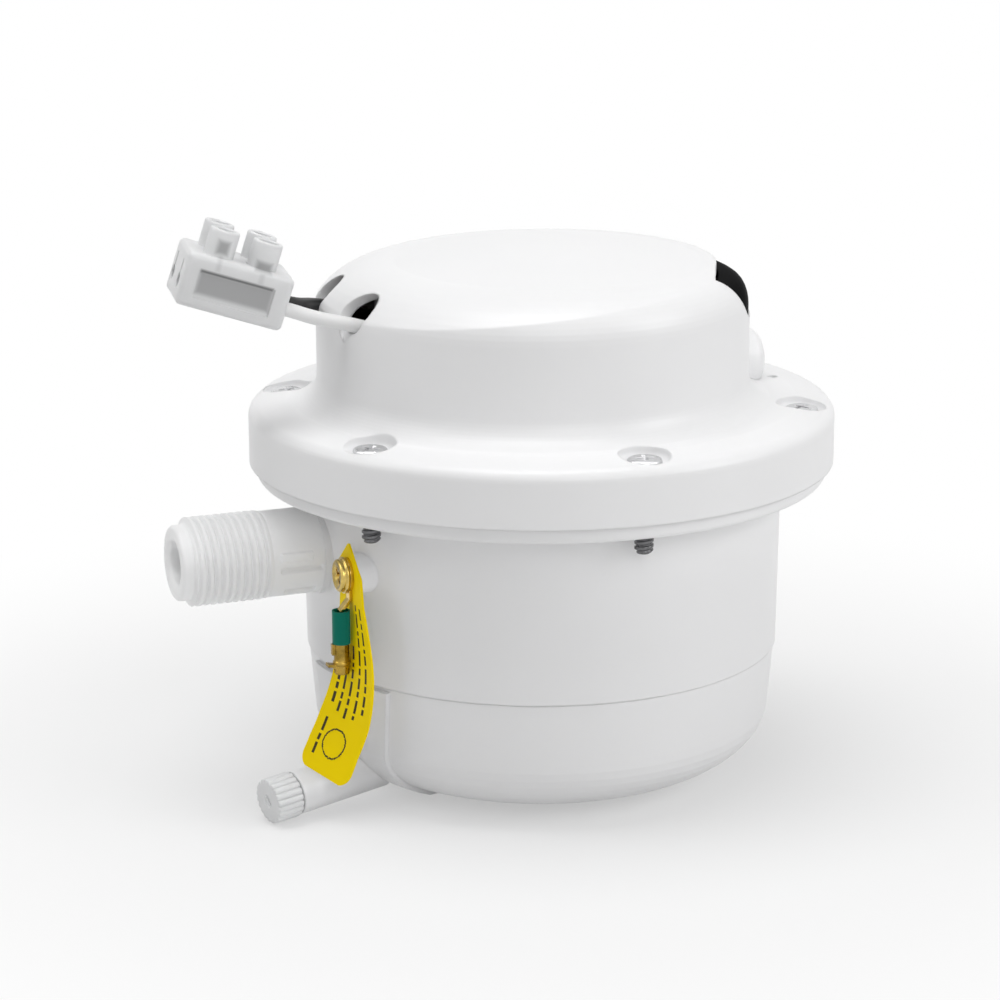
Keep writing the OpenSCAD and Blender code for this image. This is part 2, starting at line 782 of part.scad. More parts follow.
// Paddle that fills one end of the pocket, on a shutter that keeps the pocket closed as it swings
module selector() {
    color([0.05, 0.05, 0.06]) {
        difference() {
            intersection() {
                dome_body(selector_gap);
                front_window(-pocket_half + selector_gap, paddle_end_y, pocket_z + selector_gap,
                    pocket_corner_r - selector_gap);
            }
            pocket_core(paddle_gap);
        }
        translate([-dome_shift, 0, 0]) difference() {
            union() {
                rotate([0, 0, -shutter_half_span - selector_swing])
                    rotate_extrude(angle = 2 * shutter_half_span + selector_swing, $fn = 128)
                        polygon(shutter_section);
                rotate([0, 0, -selector_swing / 2]) {
                    translate([0, -arm[1] / 2, arm_z]) cube(arm);
                    translate([arm[0] - arm_rib[0], -arm_rib[1] / 2, arm_z - arm_rib[2] + 1]) cube(arm_rib);
                }
                disc_at(hub_r, hub_z[0], hub_z[1]);
            }
            disc_at(pivot_r + pivot_fit, hub_z[0] - 1, hub_z[1] + 4);
        }
    }
}

module selector_clip() {
    slot = [2.4, 6, 3];
    color("silver") translate([-dome_shift, 0, 0]) difference() {
        disc_at(clip_r, clip_z[0], clip_z[1]);
        disc_at(pivot_r, clip_z[0] - 1, clip_z[1] + 1);
        translate([-slot[0] / 2, -slot[1], clip_z[0] - 1]) cube(slot);
    }
}

module element_support() {
    foot_z = vessel_floor_z + vessel_floor_t;
    rib_r = 24;
    rib = [18, 2.4, coil_z - vessel_floor_z];
    color("tan") difference() {
        union() {
            disc_at(46, foot_z, foot_z + support_t);
            for (a = [60:60:300]) rotate([0, 0, a])
                translate([rib_r, -rib[1] / 2, foot_z + 1]) cube(rib);
        }
        rotate_extrude() translate([coil_path_r, coil_z]) circle(r = coil_r + 0.7);
        for (a = [30:60:330]) rotate([0, 0, a]) translate([coil_path_r, 0, 0])
            disc_at(5, foot_z - 1, foot_z + 5);
        disc_at(12, foot_z - 1, foot_z + 5);
        for (x = water_way_x) translate([x, 0, 0]) disc_at(water_way_r, foot_z - 1, foot_z + 5);
    }
}

module heating_coil() {
    start = post_angles[1] + 6;
    steps = coil_turns * 12;
    path = [for (i = [0:steps]) let (a = start + (360 - 2 * start) * i / steps, b = i * 30,
            r = coil_path_r - (coil_r - wire_r) * cos(b))
        [r * cos(a), r * sin(a), coil_z + (coil_r - wire_r) * sin(b)]];
    // Vectors from the circle that the coil follows to each point
    outward = [for (q = path) q - coil_path_r * unit([q[0], q[1], 0]) - [0, 0, coil_z]];
    color("silver") tube_along(path, outward, wire_r, 5);
}

module element_posts() {
    color("goldenrod") at_posts() {
        disc_at(post_r, coil_z - 6, base_z + base_t + 4);
        disc_at(3, lid_z - 3.5, lid_z);
    }
}

module post_nuts() {
    color("goldenrod") at_posts() difference() {
        translate([0, 0, base_z + base_t]) cylinder(r = 3.4, h = 2.4, $fn = 6);
        disc_at(post_r, base_z, base_z + base_t + 4);
    }
}

module spigot_cap() {
    slot = [1, 1, 4];
    color("gainsboro") at_spigot() difference() {
        union() {
            rod_x(cap_r - 0.5, cap_gap, spigot_cap_len);
            for (i = [0:flute_count - 1]) rotate([i * 360 / flute_count, 0, 0])
                translate([0, cap_r - flute_r, 0]) rod_x(flute_r, cap_gap, spigot_cap_len - flute_r);
        }
        rod_x(spigot_thread_r + fit_gap, 0, spigot_cap_len - cap_end_t);
        translate([spigot_cap_len - 0.7, -slot[1] / 2, -slot[2] / 2]) cube(slot);
        rod_x(1.4, spigot_cap_len - 0.5, spigot_cap_len + 1);
    }
}

module spigot_washer() {
    color("dimgray") at_spigot()
        rod_x(spigot_thread_r - 0.3, spigot_thread_len + fit_gap, spigot_cap_len - cap_end_t - 2 * fit_gap);
}

module earth_screw() {
    seat = earth_face_x - tag_t - lug_t;
    slot = [1.4, 10, 1.1];
    color("goldenrod") at_earth() difference() {
        union() {
            // Head with a round rim, on a thin flange
            translate([seat, 0, 0]) rotate([0, -90, 0]) rotate_extrude() polygon(concat(
                [[0, 0], [earth_flange_r, 0], [earth_flange_r, earth_flange_t]],
                arc_points(earth_head_r - earth_rim_r, earth_head_h - earth_rim_r, earth_rim_r, earth_rim_r,
                    0, 90, 5),
                [[0, earth_head_h]]
            ));
            rod_x(earth_shank_r, seat - 0.5, earth_shank_end_x);
        }
        rotate([35, 0, 0]) translate([seat - earth_head_h - 0.4, -slot[1] / 2, -slot[2] / 2]) cube(slot);
    }
}

module earth_lug() {
    ring_x = earth_face_x - tag_t - lug_t;
    strip_x = [barrel_x - lug_t / 2, barrel_x + lug_t / 2];
    color("gold") at_earth() difference() {
        union() {
            rod_x(lug_ring_r, ring_x, ring_x + lug_t);
            // Strip that steps out from the ring to the barrel
            translate([0, lug_strip_y, 0]) rotate([90, 0, 0])
                linear_extrude(lug_strip_w, center = true) polygon([
                [ring_x, -2.4], [ring_x + lug_t, -2.4], [ring_x + lug_t, -5.4], [strip_x[1], -8],
                [strip_x[1], -10.4], [strip_x[0], -10.4], [strip_x[0], -7.8], [ring_x, -5.2]
            ]);
            // Crimp barrel below the sleeve, with a tab and an ear at its side
            translate([barrel_x, barrel_y, barrel_z]) cylinder(r = barrel_r, h = barrel_len);
            translate([barrel_x - barrel_r - lug_tab[0] + 1.2, barrel_y - lug_tab[1] / 2, lug_tab_z])
                rotate([0, 12, 0]) cube(lug_tab);
            translate([barrel_x - barrel_r - 0.6, barrel_y - lug_ear[1] / 2, lug_ear_z]) cube(lug_ear);
        }
        rod_x(earth_shank_r + fit_gap, ring_x - 1, ring_x + 2);
        translate([barrel_x, barrel_y, barrel_z - 1]) cylinder(r = barrel_bore_r, h = barrel_bore_len + 1);
        translate([barrel_x - 3, barrel_y - 0.5, barrel_z - 1]) cube([3, 1, 2.2]);
    }
}

module earth_sleeve() {
    color("seagreen") translate([barrel_x, earth_y + barrel_y, sleeve_z]) difference() {
        cylinder(r = sleeve_r, h = sleeve_len);
        translate([0, 0, -1]) cylinder(r = barrel_r + eps, h = sleeve_len + 2);
    }
}

// Half width of the tag at height z: straight-sided point above, round corners below
function tag_width(z) = z > tag_full_z
    ? max(tag_tip_half, tag_half * (tag_top_z + 0.3 - z) / (tag_top_z + 0.3 - tag_full_z))
    : z < tag_corner_z
        ? tag_half - tag_corner_r + sqrt(max(0, pow(tag_corner_r, 2) - pow(tag_corner_z - z, 2)))
        : tag_half;
function tag_x(z) = z > tag_bend_z ? 0 : sqrt(pow(tag_hang_r, 2) - pow(tag_bend_z - z, 2)) - tag_hang_r;
function tag_turn(z) = tag_twist * min(1, max(0, (tag_twist_z - z) / tag_twist_len));
function tag_lean(z) = tag_lean_max * min(1, max(0, (tag_bend_z - z) / tag_lean_len));
function tag_side(z) = z < tag_bow_z[0] || z > tag_bow_z[1] ? 0
    : -tag_bow * sin(180 * (z - tag_bow_z[0]) / (tag_bow_z[1] - tag_bow_z[0]));

module earth_tag() {
    heights = [for (i = [0:tag_rows]) tag_foot_z + (tag_top_z - tag_foot_z) * i / tag_rows];
    points = [for (z = heights) let (w = tag_width(z), a = tag_turn(z),
            c = [earth_face_x - tag_t / 2 + tag_x(z), earth_y + tag_side(z), z], side = [-sin(a), cos(a), 0],
            face = [cos(a), sin(a), 0] * tag_t / 2, lift = [0, 0, tag_lean(z)])
        each [c - w * side - face - w * lift, c + w * side - face + w * lift,
            c + w * side + face + w * lift, c - w * side + face - w * lift]];
    color("gold") difference() {
        polyhedron(points, row_skin(tag_rows + 1, 4), convexity = 4);
        at_earth() rod_x(screw_clear_r, clear_x[0], earth_face_x + 4);
    }
}

module lead_white() {
    color("whitesmoke") tube_along(white_route, [for (q = white_route) [0, 0, 1]], lead_d / 2, 8);
}

module lead_black() {
    color([0.1, 0.1, 0.1]) tube_along(black_route, [for (q = black_route) [0, 0, 1]], lead_d / 2, 8);
}

// Rectangle with round corners
module soft_rectangle(x0, x1, y0, y1, r) {
    translate([x0 + r, y0]) square([x1 - x0 - 2 * r, y1 - y0]);
    translate([x0, y0 + r]) square([x1 - x0, y1 - y0 - 2 * r]);
    for (x = [x0 + r, x1 - r], y = [y0 + r, y1 - r]) translate([x, y]) circle(r = r);
}

module block_hollows() {
    at_poles() {
        // Sleeve of the insert, with a tall opening at each end
        translate([0, 0, pole_h]) {
            translate([insert_inset, -insert_w / 2 - insert_gap, -insert_h / 2 - insert_gap])
                cube([block_len - 2 * insert_inset, insert_w + 2 * insert_gap, insert_h + 2 * insert_gap]);
            for (side = [-1, 1]) translate([0, 0, side * entry_rise]) rod_x(entry_r, -1, block_len + 1);
            translate([-1, -entry_r, -entry_rise]) cube([block_len + 2, 2 * entry_r, 2 * entry_rise]);
        }
        for (side = [-1, 1]) translate([block_len / 2 + side * tower_pitch / 2, 0, 0])
            disc_at(tower_bore_r, pole_h, block_h + tower_h + 1);
    }
}

module terminal_block() {
    color([0.93, 0.94, 0.95]) at_block() difference() {
        union() {
            intersection() {
                linear_extrude(block_h)
                    soft_rectangle(0, block_len, -block_half_w, block_half_w, block_corner_r);
                rotate([90, 0, 90]) linear_extrude(block_len)
                    soft_rectangle(-block_half_w, block_half_w, 0, block_h, block_corner_r);
            }
            at_poles() for (side = [-1, 1]) translate([block_len / 2 + side * tower_pitch / 2, 0, 0])
                disc_at(tower_r, block_h - 2, block_h + tower_h);
        }
        block_hollows();
        // Windows beside the inserts
        for (side = [-1, 1])
            translate([window_inset, side * (block_half_w + 1 - window_depth) - 1, window_foot])
                cube([block_len - 2 * window_inset, 2, window_h]);
    }
}

module terminal_inserts() {
    color("silver") at_block() at_poles() translate([0, 0, pole_h]) difference() {
        translate([insert_inset, -insert_w / 2, -insert_h / 2])
            cube([block_len - 2 * insert_inset, insert_w, insert_h]);
        rod_x(port_r, 0, insert_wall_x[0]);
        rod_x(port_r, insert_wall_x[1], block_len);
        for (side = [-1, 1]) translate([block_len / 2 + side * tower_pitch / 2, 0, 0])
            disc_at(terminal_hole_r, 0, insert_h);
    }
}

module terminal_screws() {
    color("silver") at_block() at_poles() for (i = [0, 1]) {
        head_z = terminal_head_z[i];
        top_z = head_z + terminal_head_h;
        translate([block_len / 2 + (2 * i - 1) * tower_pitch / 2, 0, pole_h]) difference() {
            union() {
                disc_at(terminal_screw_r, port_r + 0.1, head_z + 0.5);
                disc_at(terminal_head_r, head_z, top_z);
            }
            translate([-terminal_slot[0] / 2, -terminal_slot[1] / 2, top_z - terminal_slot[2]])
                cube(terminal_slot + [0, 0, 1]);
        }
    }
}

vessel();
outlet_bowl();
spray_plate();
bowl_seal();
inlet_nipple();
inlet_seal();
inlet_filter();
cover();
flange_screws();
diaphragm();
chamber_lid();
plunger();
contact_bridge();
fixed_contacts();
return_spring();
contact_base();
base_screws();
supply_terminals();
selector();
selector_clip();
element_support();
heating_coil();
element_posts();
post_nuts();
spigot_cap();
spigot_washer();
earth_screw();
earth_lug();
earth_sleeve();
earth_tag();
lead_white();
lead_black();
terminal_block();
terminal_inserts();
terminal_screws();
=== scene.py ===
"""Looks of a compact instantaneous water heater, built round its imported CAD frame. Metres, +Z up."""
import json
import math

import bmesh
import bpy
from mathutils import Euler, Matrix, Vector


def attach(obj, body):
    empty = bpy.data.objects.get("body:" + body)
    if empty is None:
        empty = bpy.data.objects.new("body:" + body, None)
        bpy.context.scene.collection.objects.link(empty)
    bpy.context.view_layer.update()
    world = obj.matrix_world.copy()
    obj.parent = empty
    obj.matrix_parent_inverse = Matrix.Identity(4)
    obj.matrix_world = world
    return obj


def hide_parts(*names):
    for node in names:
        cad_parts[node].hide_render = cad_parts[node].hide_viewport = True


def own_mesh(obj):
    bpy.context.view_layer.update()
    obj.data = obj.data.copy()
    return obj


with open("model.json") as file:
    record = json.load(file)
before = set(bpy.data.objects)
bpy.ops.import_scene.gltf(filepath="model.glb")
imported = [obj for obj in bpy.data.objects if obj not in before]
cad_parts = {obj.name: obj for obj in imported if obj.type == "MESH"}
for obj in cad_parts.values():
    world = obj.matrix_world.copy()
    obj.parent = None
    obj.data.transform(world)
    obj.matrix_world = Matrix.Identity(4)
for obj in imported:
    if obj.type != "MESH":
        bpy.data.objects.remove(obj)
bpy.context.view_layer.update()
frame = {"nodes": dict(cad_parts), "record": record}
MM = 0.001

# Camera, at the photograph's viewing angle
CAMERA_PLACE = (-0.2860, -0.7187, 0.2752)
CAMERA_TILT = 75.21
CAMERA_AZIMUTH = -21.7
CAMERA_LENS = 119.5
CAMERA_SHIFT = (-0.0414, -0.020)

# Routes of the two leads, as in the CAD source, in millimetres
WHITE_ROUTE = [
    (-26, -16, 109.2), (-31, -16, 109.6), (-37, -15.4, 111.2), (-44, -13.6, 113.4), (-50.5, -12, 115.4),
    (-56, -10.6, 116.6), (-60.5, -9.4, 117.8), (-64.2, -8.5, 119.1), (-67, -8, 120), (-71.4, -7.3, 121.5),
]
BLACK_ROUTE = [
    (-26, 16, 109.2), (-31, 16, 109.6), (-38, 15.4, 111.3), (-45, 13.4, 113.6), (-51, 10.4, 115.7),
    (-55.5, 7, 117), (-59.2, 3.4, 118), (-62.6, 1.3, 119.1), (-65.5, 1.6, 120), (-69.9, 2.3, 121.5),
]
LEAD_RADIUS = 1.65
LEAD_STEPS = 8
LEAD_SIDES = 24

# Inlet nipple: a G1/2 thread on a moulded neck, in millimetres from its mouth
INLET_Z = 59.9
NIPPLE_END_X = -91.9
NIPPLE_LEN = 33.7
NIPPLE_SEGMENTS = 288
NOSE_LEN = 2.7
NOSE_R = 8.9
NOSE_EDGE_R = 0.9
NOSE_LAST_RING = 0.4
THREAD_LEN = 19.0
THREAD_R = 10.4775
THREAD_PITCH = 1.814
THREAD_DEPTH = 0.95
THREAD_RUN_IN = 0.8
THREAD_RUN_OUT = 1.6
THREAD_LEVELS = 14
# Flank of every thread, between its crest at 0 and its root at 1
THREAD_FLANK = (0.35, 0.95)
NECK_R = 10.2
NECK_STEPS = 80
MOUTH_R = 5.0
MOUTH_DEPTH = 12.0
# Round lip of the mouth, from inside out: place along the axis and growth of the radius
MOUTH_LIP = [(1.0, 0.0), (0.6, 0.25), (0.12, 0.9), (0.0, 2.0), (0.0, 2.9)]
# Tilt in degrees, width, start past the thread and length of the lines along the neck
NECK_GROOVES = [(-10, 1.1, 1.4, 10.0), (-49.5, 2.0, 3.2, 7.2)]
NECK_GROOVE_DEPTH = 1.1
NECK_GROOVE_SOFT = 0.2
NECK_RIB = (8, 1.9, 1.4, 7.6)
NECK_RIB_PROUD = 0.7
NECK_RIB_SOFT = 0.15

# Slots of a recess: how far their tool stands out past the face, and the shares of its length and width
# that are left at its foot
SLOT_PAST = 0.3
SLOT_TAPER = (0.45, 0.78)

# Flange screws
SCREW_COUNT = 6
SCREW_FIRST = 30
SCREW_CIRCLE = 62.2
SCREW_SEAT_Z = 90.0
SCREW_HEAD_H = 1.35
SCREW_EDGE_SHARE = 0.55
SCREW_CHAMFER = 0.1
SCREW_TIP_Z = 69.4
SCREW_HEAD_R = 4.0
SCREW_SHANK_R = 2.2
SCREW_PITCH = 1.25
SCREW_THREAD_DEPTH = 0.42
# Length of the rod inside its head, and how far below the seat the darker steel starts, which paints the
# shade under the flange
SCREW_SINK = 0.3
SCREW_SHADE_BELOW = 0.1
# Point of a rod: its start and end above the tip, and the share of the radius left at the tip
ROD_POINT = (-0.2, 1.0)
ROD_TIP_SHARE = 0.72
ROD_LEVELS = 10
# Turn of the first screw's recess, and from each screw to the next, in degrees
SCREW_RECESS_TURN = (20, 37)
# Length, width and depth of each slot of the cross recess
SCREW_SLOT = (4.8, 1.1, 1.4)

# Spigot cap, from its joint outwards
SPIGOT_JOINT = (71.6, 6.4)
SPIGOT_TURN = 14.3
SPIGOT_SLOPE = 5
CAP_R = 5.4
CAP_START = 0.35
CAP_LEN = 7.0
CAP_BORE_R = 4.05
CAP_END_T = 1.4
# Outline of the fluted wall: height, and how far it stands back from the full radius
CAP_WALL = [(CAP_START, 0.2), (CAP_START + 0.15, 0.0), (CAP_LEN - 0.45, 0.0), (CAP_LEN - 0.15, 0.12),
            (CAP_LEN, 0.4)]
CAP_FACE_R = 4.0
# Dimple in the cap's end: outer radius, inner radius and depth
CAP_DIMPLE = (1.6, 1.3, 0.35)
CAP_SLOT = (3.8, 1.0, 0.6)
CAP_SLOT_TURN = 0.6
FLUTE_COUNT = 20
FLUTE_DEPTH = 0.7
# Share of a lobe's half circle that is used, so that the wall never turns straight inwards
FLUTE_SHARE = 0.98
FLUTE_STEPS = 14

# Selector key: its top is eased down between two radii about the dome's axis, where it meets the crown
DOME_SHIFT = 2.2
KEY_EASE_R = (44.0, 51.0)
KEY_EASE_Z = (117.0, 122.0)
KEY_DROP = 2.4

# Terminal block in a frame of its own: x out along the block, z up from its foot
BLOCK_FOOT = (-67.5, -3, 116)
BLOCK_TURN = (0, -18, 171)
BLOCK_LEN = 24.6
BLOCK_HALF_W = 9.5
BLOCK_H = 12.0
BLOCK_EDGE_R = 1.4
BLOCK_LIP = 0.6
BLOCK_CUT_PAST = 1
POLE_Y = 4.9
POLE_Z = 4.2
PORT_R = 1.8
TOWER_X = (7.2, 17.4)
TOWER_R = 3.5
TOWER_BORE_R = 2.3
TOWER_BORE_FOOT = 5.2
TOWER_BORE_PAST = 0.1
TOWER_CHAMFER = 0.35
TOWER_EDGE_R = 0.5
TOWER_SINK = 2.0
TOWER_H = 6.2
INSERT_ROOM = ((1.95, -3.35, -3.45), (22.65, 3.35, 3.45))
WINDOW = ((3.4, 2.0), (21.2, 8.4))
WINDOW_DEPTH = 0.3
# Slot above each outer port: width, and the heights of its ends
ENTRY_SLOT = (0.9, 4.2, 9.2)
ENTRY_SLOT_DEPTH = 2.2
# Places where metal shows grey through the milky wall, and the second box a painted shadow line along the
# window's top edge: low corner, high corner, softness and share of grey
BLOCK_METAL_AND_SHADE = [
    ((3.6, -10, 3.0), (21.0, 10, 8.3), 0.8, 0.51), ((3.8, -10, 7.8), (20.9, 10, 8.7), 0.4, 0.76),
    ((15.9, -10, 12.9), (18.7, 10, 16.0), 0.8, 0.52), ((5.3, -10, 11.6), (9.0, 10, 13.8), 0.8, 0.52),
    ((16.7, -10, 9.0), (17.9, 10, 13.0), 0.8, 0.2), ((6.5, -10, 8.6), (7.8, 10, 11.5), 0.8, 0.2),
]

# Earth terminal
EARTH_Y = -22.0
EARTH_Z = 59.4
EARTH_SEAT_X = -57.3
EARTH_FLANGE_R = 4.3
EARTH_HEAD_R = 3.85
EARTH_HEAD_H = 2.1
EARTH_RIM_R = 0.45
EARTH_FILLET = 0.1
EARTH_CROWN_R = 0.7
# Dish in the head: depth and radius
EARTH_DISH = [(0.0, 2.7), (0.3, 2.3), (0.35, 0.0)]
EARTH_SLOT = (5.0, 1.1, 1.7)
EARTH_SLOT_TURN = 35
EARTH_SHANK_R = 2.0
EARTH_SHANK_LEN = 13.3
# Crimp rolled round the lug's barrel: the barrel's axis, the crimp's height, and its round section
BARREL_AXIS = (-59.1, -24.0)
CRIMP_Z = 39.2
CRIMP_SECTION = (1.4, 0.7)
# Height below which the lug takes the darker brass, painted shade
LUG_SHADE_TOP_Z = 48.0

# Earth tag, with the same bends as in the CAD source
TAG_X = -56.25
TAG_T = 0.5
TAG_HALF = 8.0
TAG_TIP_HALF = 0.5
TAG_TIP_PAST = 0.3
TAG_FOOT_Z = 11.6
TAG_TOP_Z = 66.7
TAG_FULL_Z = 60.5
TAG_CORNER_Z = 14.5
TAG_CORNER_R = 3.0
TAG_HANG_R = 66.0
TAG_BEND_Z = 42.0
TAG_TWIST = 24.0
TAG_TWIST_Z = 54.0
TAG_TWIST_LEN = 29.0
TAG_LEAN = 0.19
TAG_LEAN_LEN = 30.0
TAG_BOW = 3.2
TAG_BOW_Z = (18.0, 62.0)
# Plain printed bars: place across, width, and the heights where a column starts and ends
TAG_BARS = [(-5.2, 1.0, 53.0, 27.6), (-2.6, 0.7, 53.3, 24.8), (0.2, 0.7, 43.0, 25.0),
            (2.8, 0.7, 40.0, 25.6), (5.2, 1.0, 40.0, 27.0), (5.2, 0.6, 24.0, 13.8)]
BAR_LENGTHS = (2.6, 1.4, 3.2, 1.0, 2.2, 3.6, 1.6)
BAR_GAP = 0.7
SHORTEST_BAR = 0.9
# Plain printed ring: place across, height, radius and width
TAG_RING = (0.2, 18.9, 3.4, 0.4)
# Size of the tag's grid cells, and the gap round its hole
TAG_CELL = 0.2
TAG_HOLE_GAP = 0.2

# Plastics: refractive index, and equal scatter for all three colours
PLASTIC_IOR = 1.49
EVEN_SCATTER = (1.0, 1.0, 1.0)

# Floor and background, in metres: the floor turns from matt to white between two distances
FLOOR_HALF = 6.0
FLOOR_Z = -0.0002
FLOOR_GREY = 0.80
FLOOR_FADE = (0.05, 0.24)
FLOOR_WHITE_SHARE = 0.45
SKY_FILL = 0.235
# Lamps: name, place in metres, diameter and power in watts
LAMPS = [
    ("top", (-0.10, -0.05, 1.25), 0.9, 7.6), ("left", (-0.95, 0.20, 0.85), 0.8, 3.0),
    ("right", (1.00, -0.90, 0.70), 0.8, 6.5), ("front", (-0.10, -1.25, 0.65), 0.7, 2.7),
]
LAMP_TARGET = (0, 0, 0.06)


def make_camera():
    data = bpy.data.cameras.new("camera")
    data.sensor_width = 36
    data.lens = CAMERA_LENS
    data.shift_x, data.shift_y = CAMERA_SHIFT
    data.clip_start = 0.05
    data.clip_end = 20
    camera = bpy.data.objects.new("camera", data)
    camera.location = CAMERA_PLACE
    camera.rotation_euler = (math.radians(CAMERA_TILT), 0, math.radians(CAMERA_AZIMUTH))
    bpy.context.scene.collection.objects.link(camera)
    bpy.context.scene.camera = camera


make_camera()


# ---------------------------------------------------------------- mesh helpers
def new_object(name, mesh):
    obj = bpy.data.objects.new(name, mesh)
    bpy.context.scene.collection.objects.link(obj)
    return obj


def mesh_from(name, points, faces):
    """A smooth mesh object from points in millimetres."""
    mesh = bpy.data.meshes.new(name)
    mesh.from_pydata([Vector(p) * MM for p in points], [], faces)
    mesh.validate()
    build = bmesh.new()
    build.from_mesh(mesh)
    bmesh.ops.recalc_face_normals(build, faces=build.faces)
    build.to_mesh(mesh)
    build.free()
    for polygon in mesh.polygons:
        polygon.use_smooth = True
    return new_object(name, mesh)


def weld(obj, distance=0.002):
    """Joins points closer than the distance, in millimetres."""
    build = bmesh.new()
    build.from_mesh(obj.data)
    bmesh.ops.remove_doubles(build, verts=build.verts, dist=distance * MM)
    bmesh.ops.recalc_face_normals(build, faces=build.faces)
    build.to_mesh(obj.data)
    build.free()
    return obj


def grid_faces(rows, columns, closed=True):
    """Quads between rows of points; closed joins the last column to the first."""
    faces = []
    for i in range(rows - 1):
        for k in range(columns if closed else columns - 1):
            m = (k + 1) % columns
            faces.append((i * columns + k, i * columns + m, (i + 1) * columns + m, (i + 1) * columns + k))
    return faces


def lathe(name, rows, segments):
    """A solid about Z from rows of (height, radius), where a radius may be a function of the angle."""
    points = []
    for height, radius in rows:
        for k in range(segments):
            a = 2 * math.pi * k / segments
            r = radius(a) if callable(radius) else radius
            points.append((r * math.cos(a), r * math.sin(a), height))
    return weld(mesh_from(name, points, grid_faces(len(rows), segments)))


def arc_rows(height, radius, size, start, end, steps):
    """Rows of (height, radius) along an arc of the given size round its centre, angles in degrees."""
    rows = []
    for i in range(steps + 1):
        a = math.radians(start + (end - start) * i / steps)
        rows.append((height + size * math.sin(a), radius + size * math.cos(a)))
    return rows


def smooth_route(points, steps):
    """Catmull-Rom points through a route, steps to a span."""
    pts = [Vector(p) for p in points]
    ext = [2 * pts[0] - pts[1], *pts, 2 * pts[-1] - pts[-2]]
    out = []
    for a, b, c, d in zip(ext, ext[1:], ext[2:], ext[3:]):
        for i in range(steps):
            t = i / steps
            out.append(0.5 * ((2 * b) + (c - a) * t + (2 * a - 5 * b + 4 * c - d) * t * t
                              + (3 * b - a - 3 * c + d) * t ** 3))
    out.append(pts[-1])
    return out


def tube(name, route, radius, sides):
    """A smooth tube with closed ends along a route, in millimetres."""
    points = []
    for i, p in enumerate(route):
        t = (route[min(i + 1, len(route) - 1)] - route[max(i - 1, 0)]).normalized()
        u = t.cross(Vector((0, 0, 1))).normalized()
        v = t.cross(u)
        for k in range(sides):
            a = 2 * math.pi * k / sides
            points.append(p + radius * (math.cos(a) * u + math.sin(a) * v))
    faces = grid_faces(len(route), sides)
    last = (len(route) - 1) * sides
    faces += [tuple(reversed(range(sides))), tuple(range(last, last + sides))]
    return mesh_from(name, points, faces)


def apply_modifiers(obj):
    """Leaves the object with its final mesh and no modifiers."""
    graph = bpy.context.evaluated_depsgraph_get()
    mesh = bpy.data.meshes.new_from_object(obj.evaluated_get(graph))
    obj.modifiers.clear()
    obj.data = mesh


def combine(obj, tools, operation="DIFFERENCE"):
    """Takes the tools' solids out of obj, or adds them, and deletes the tools."""
    for tool in tools:
        modifier = obj.modifiers.new("combine", "BOOLEAN")
        modifier.operation = operation
        modifier.solver = "EXACT"
        modifier.object = tool
    bpy.context.view_layer.update()
    apply_modifiers(obj)
    for tool in tools:
        bpy.data.objects.remove(tool)


def box_between(name, low, high, edge_r=0.0):
    """A box between two corners in millimetres, with round edges where a radius is given."""
    points = [(x, y, z) for z in (low[2], high[2]) for y in (low[1], high[1]) for x in (low[0], high[0])]
    faces = [(0, 2, 3, 1), (4, 5, 7, 6), (0, 1, 5, 4), (1, 3, 7, 5), (3, 2, 6, 7), (2, 0, 4, 6)]
    box = mesh_from(name, points, faces)
    if edge_r:
        build = bmesh.new()
        build.from_mesh(box.data)
        bmesh.ops.bevel(build, geom=build.edges, offset=edge_r * MM, segments=5, profile=0.5, affect="EDGES")
        build.to_mesh(box.data)
        build.free()
    return box


def join(name, objects):
    """One object from several, which all have their place in their meshes."""
    build = bmesh.new()
    for obj in objects:
        mesh = obj.data.copy()
        mesh.transform(obj.matrix_world)
        build.from_mesh(mesh)
        bpy.data.meshes.remove(mesh)
        bpy.data.objects.remove(obj)
    mesh = bpy.data.meshes.new(name)
    build.to_mesh(mesh)
    build.free()
    return new_object(name, mesh)


def shade_by_angle(obj, degrees):
    """Smooth shading, with edges sharper than the angle kept sharp."""
    build = bmesh.new()
    build.from_mesh(obj.data)
    for edge in build.edges:
        angle = edge.calc_face_angle(0.0) if len(edge.link_faces) == 2 else math.pi
        edge.smooth = angle < math.radians(degrees)
    for face in build.faces:
        face.smooth = True
    build.to_mesh(obj.data)
    build.free()
    return obj


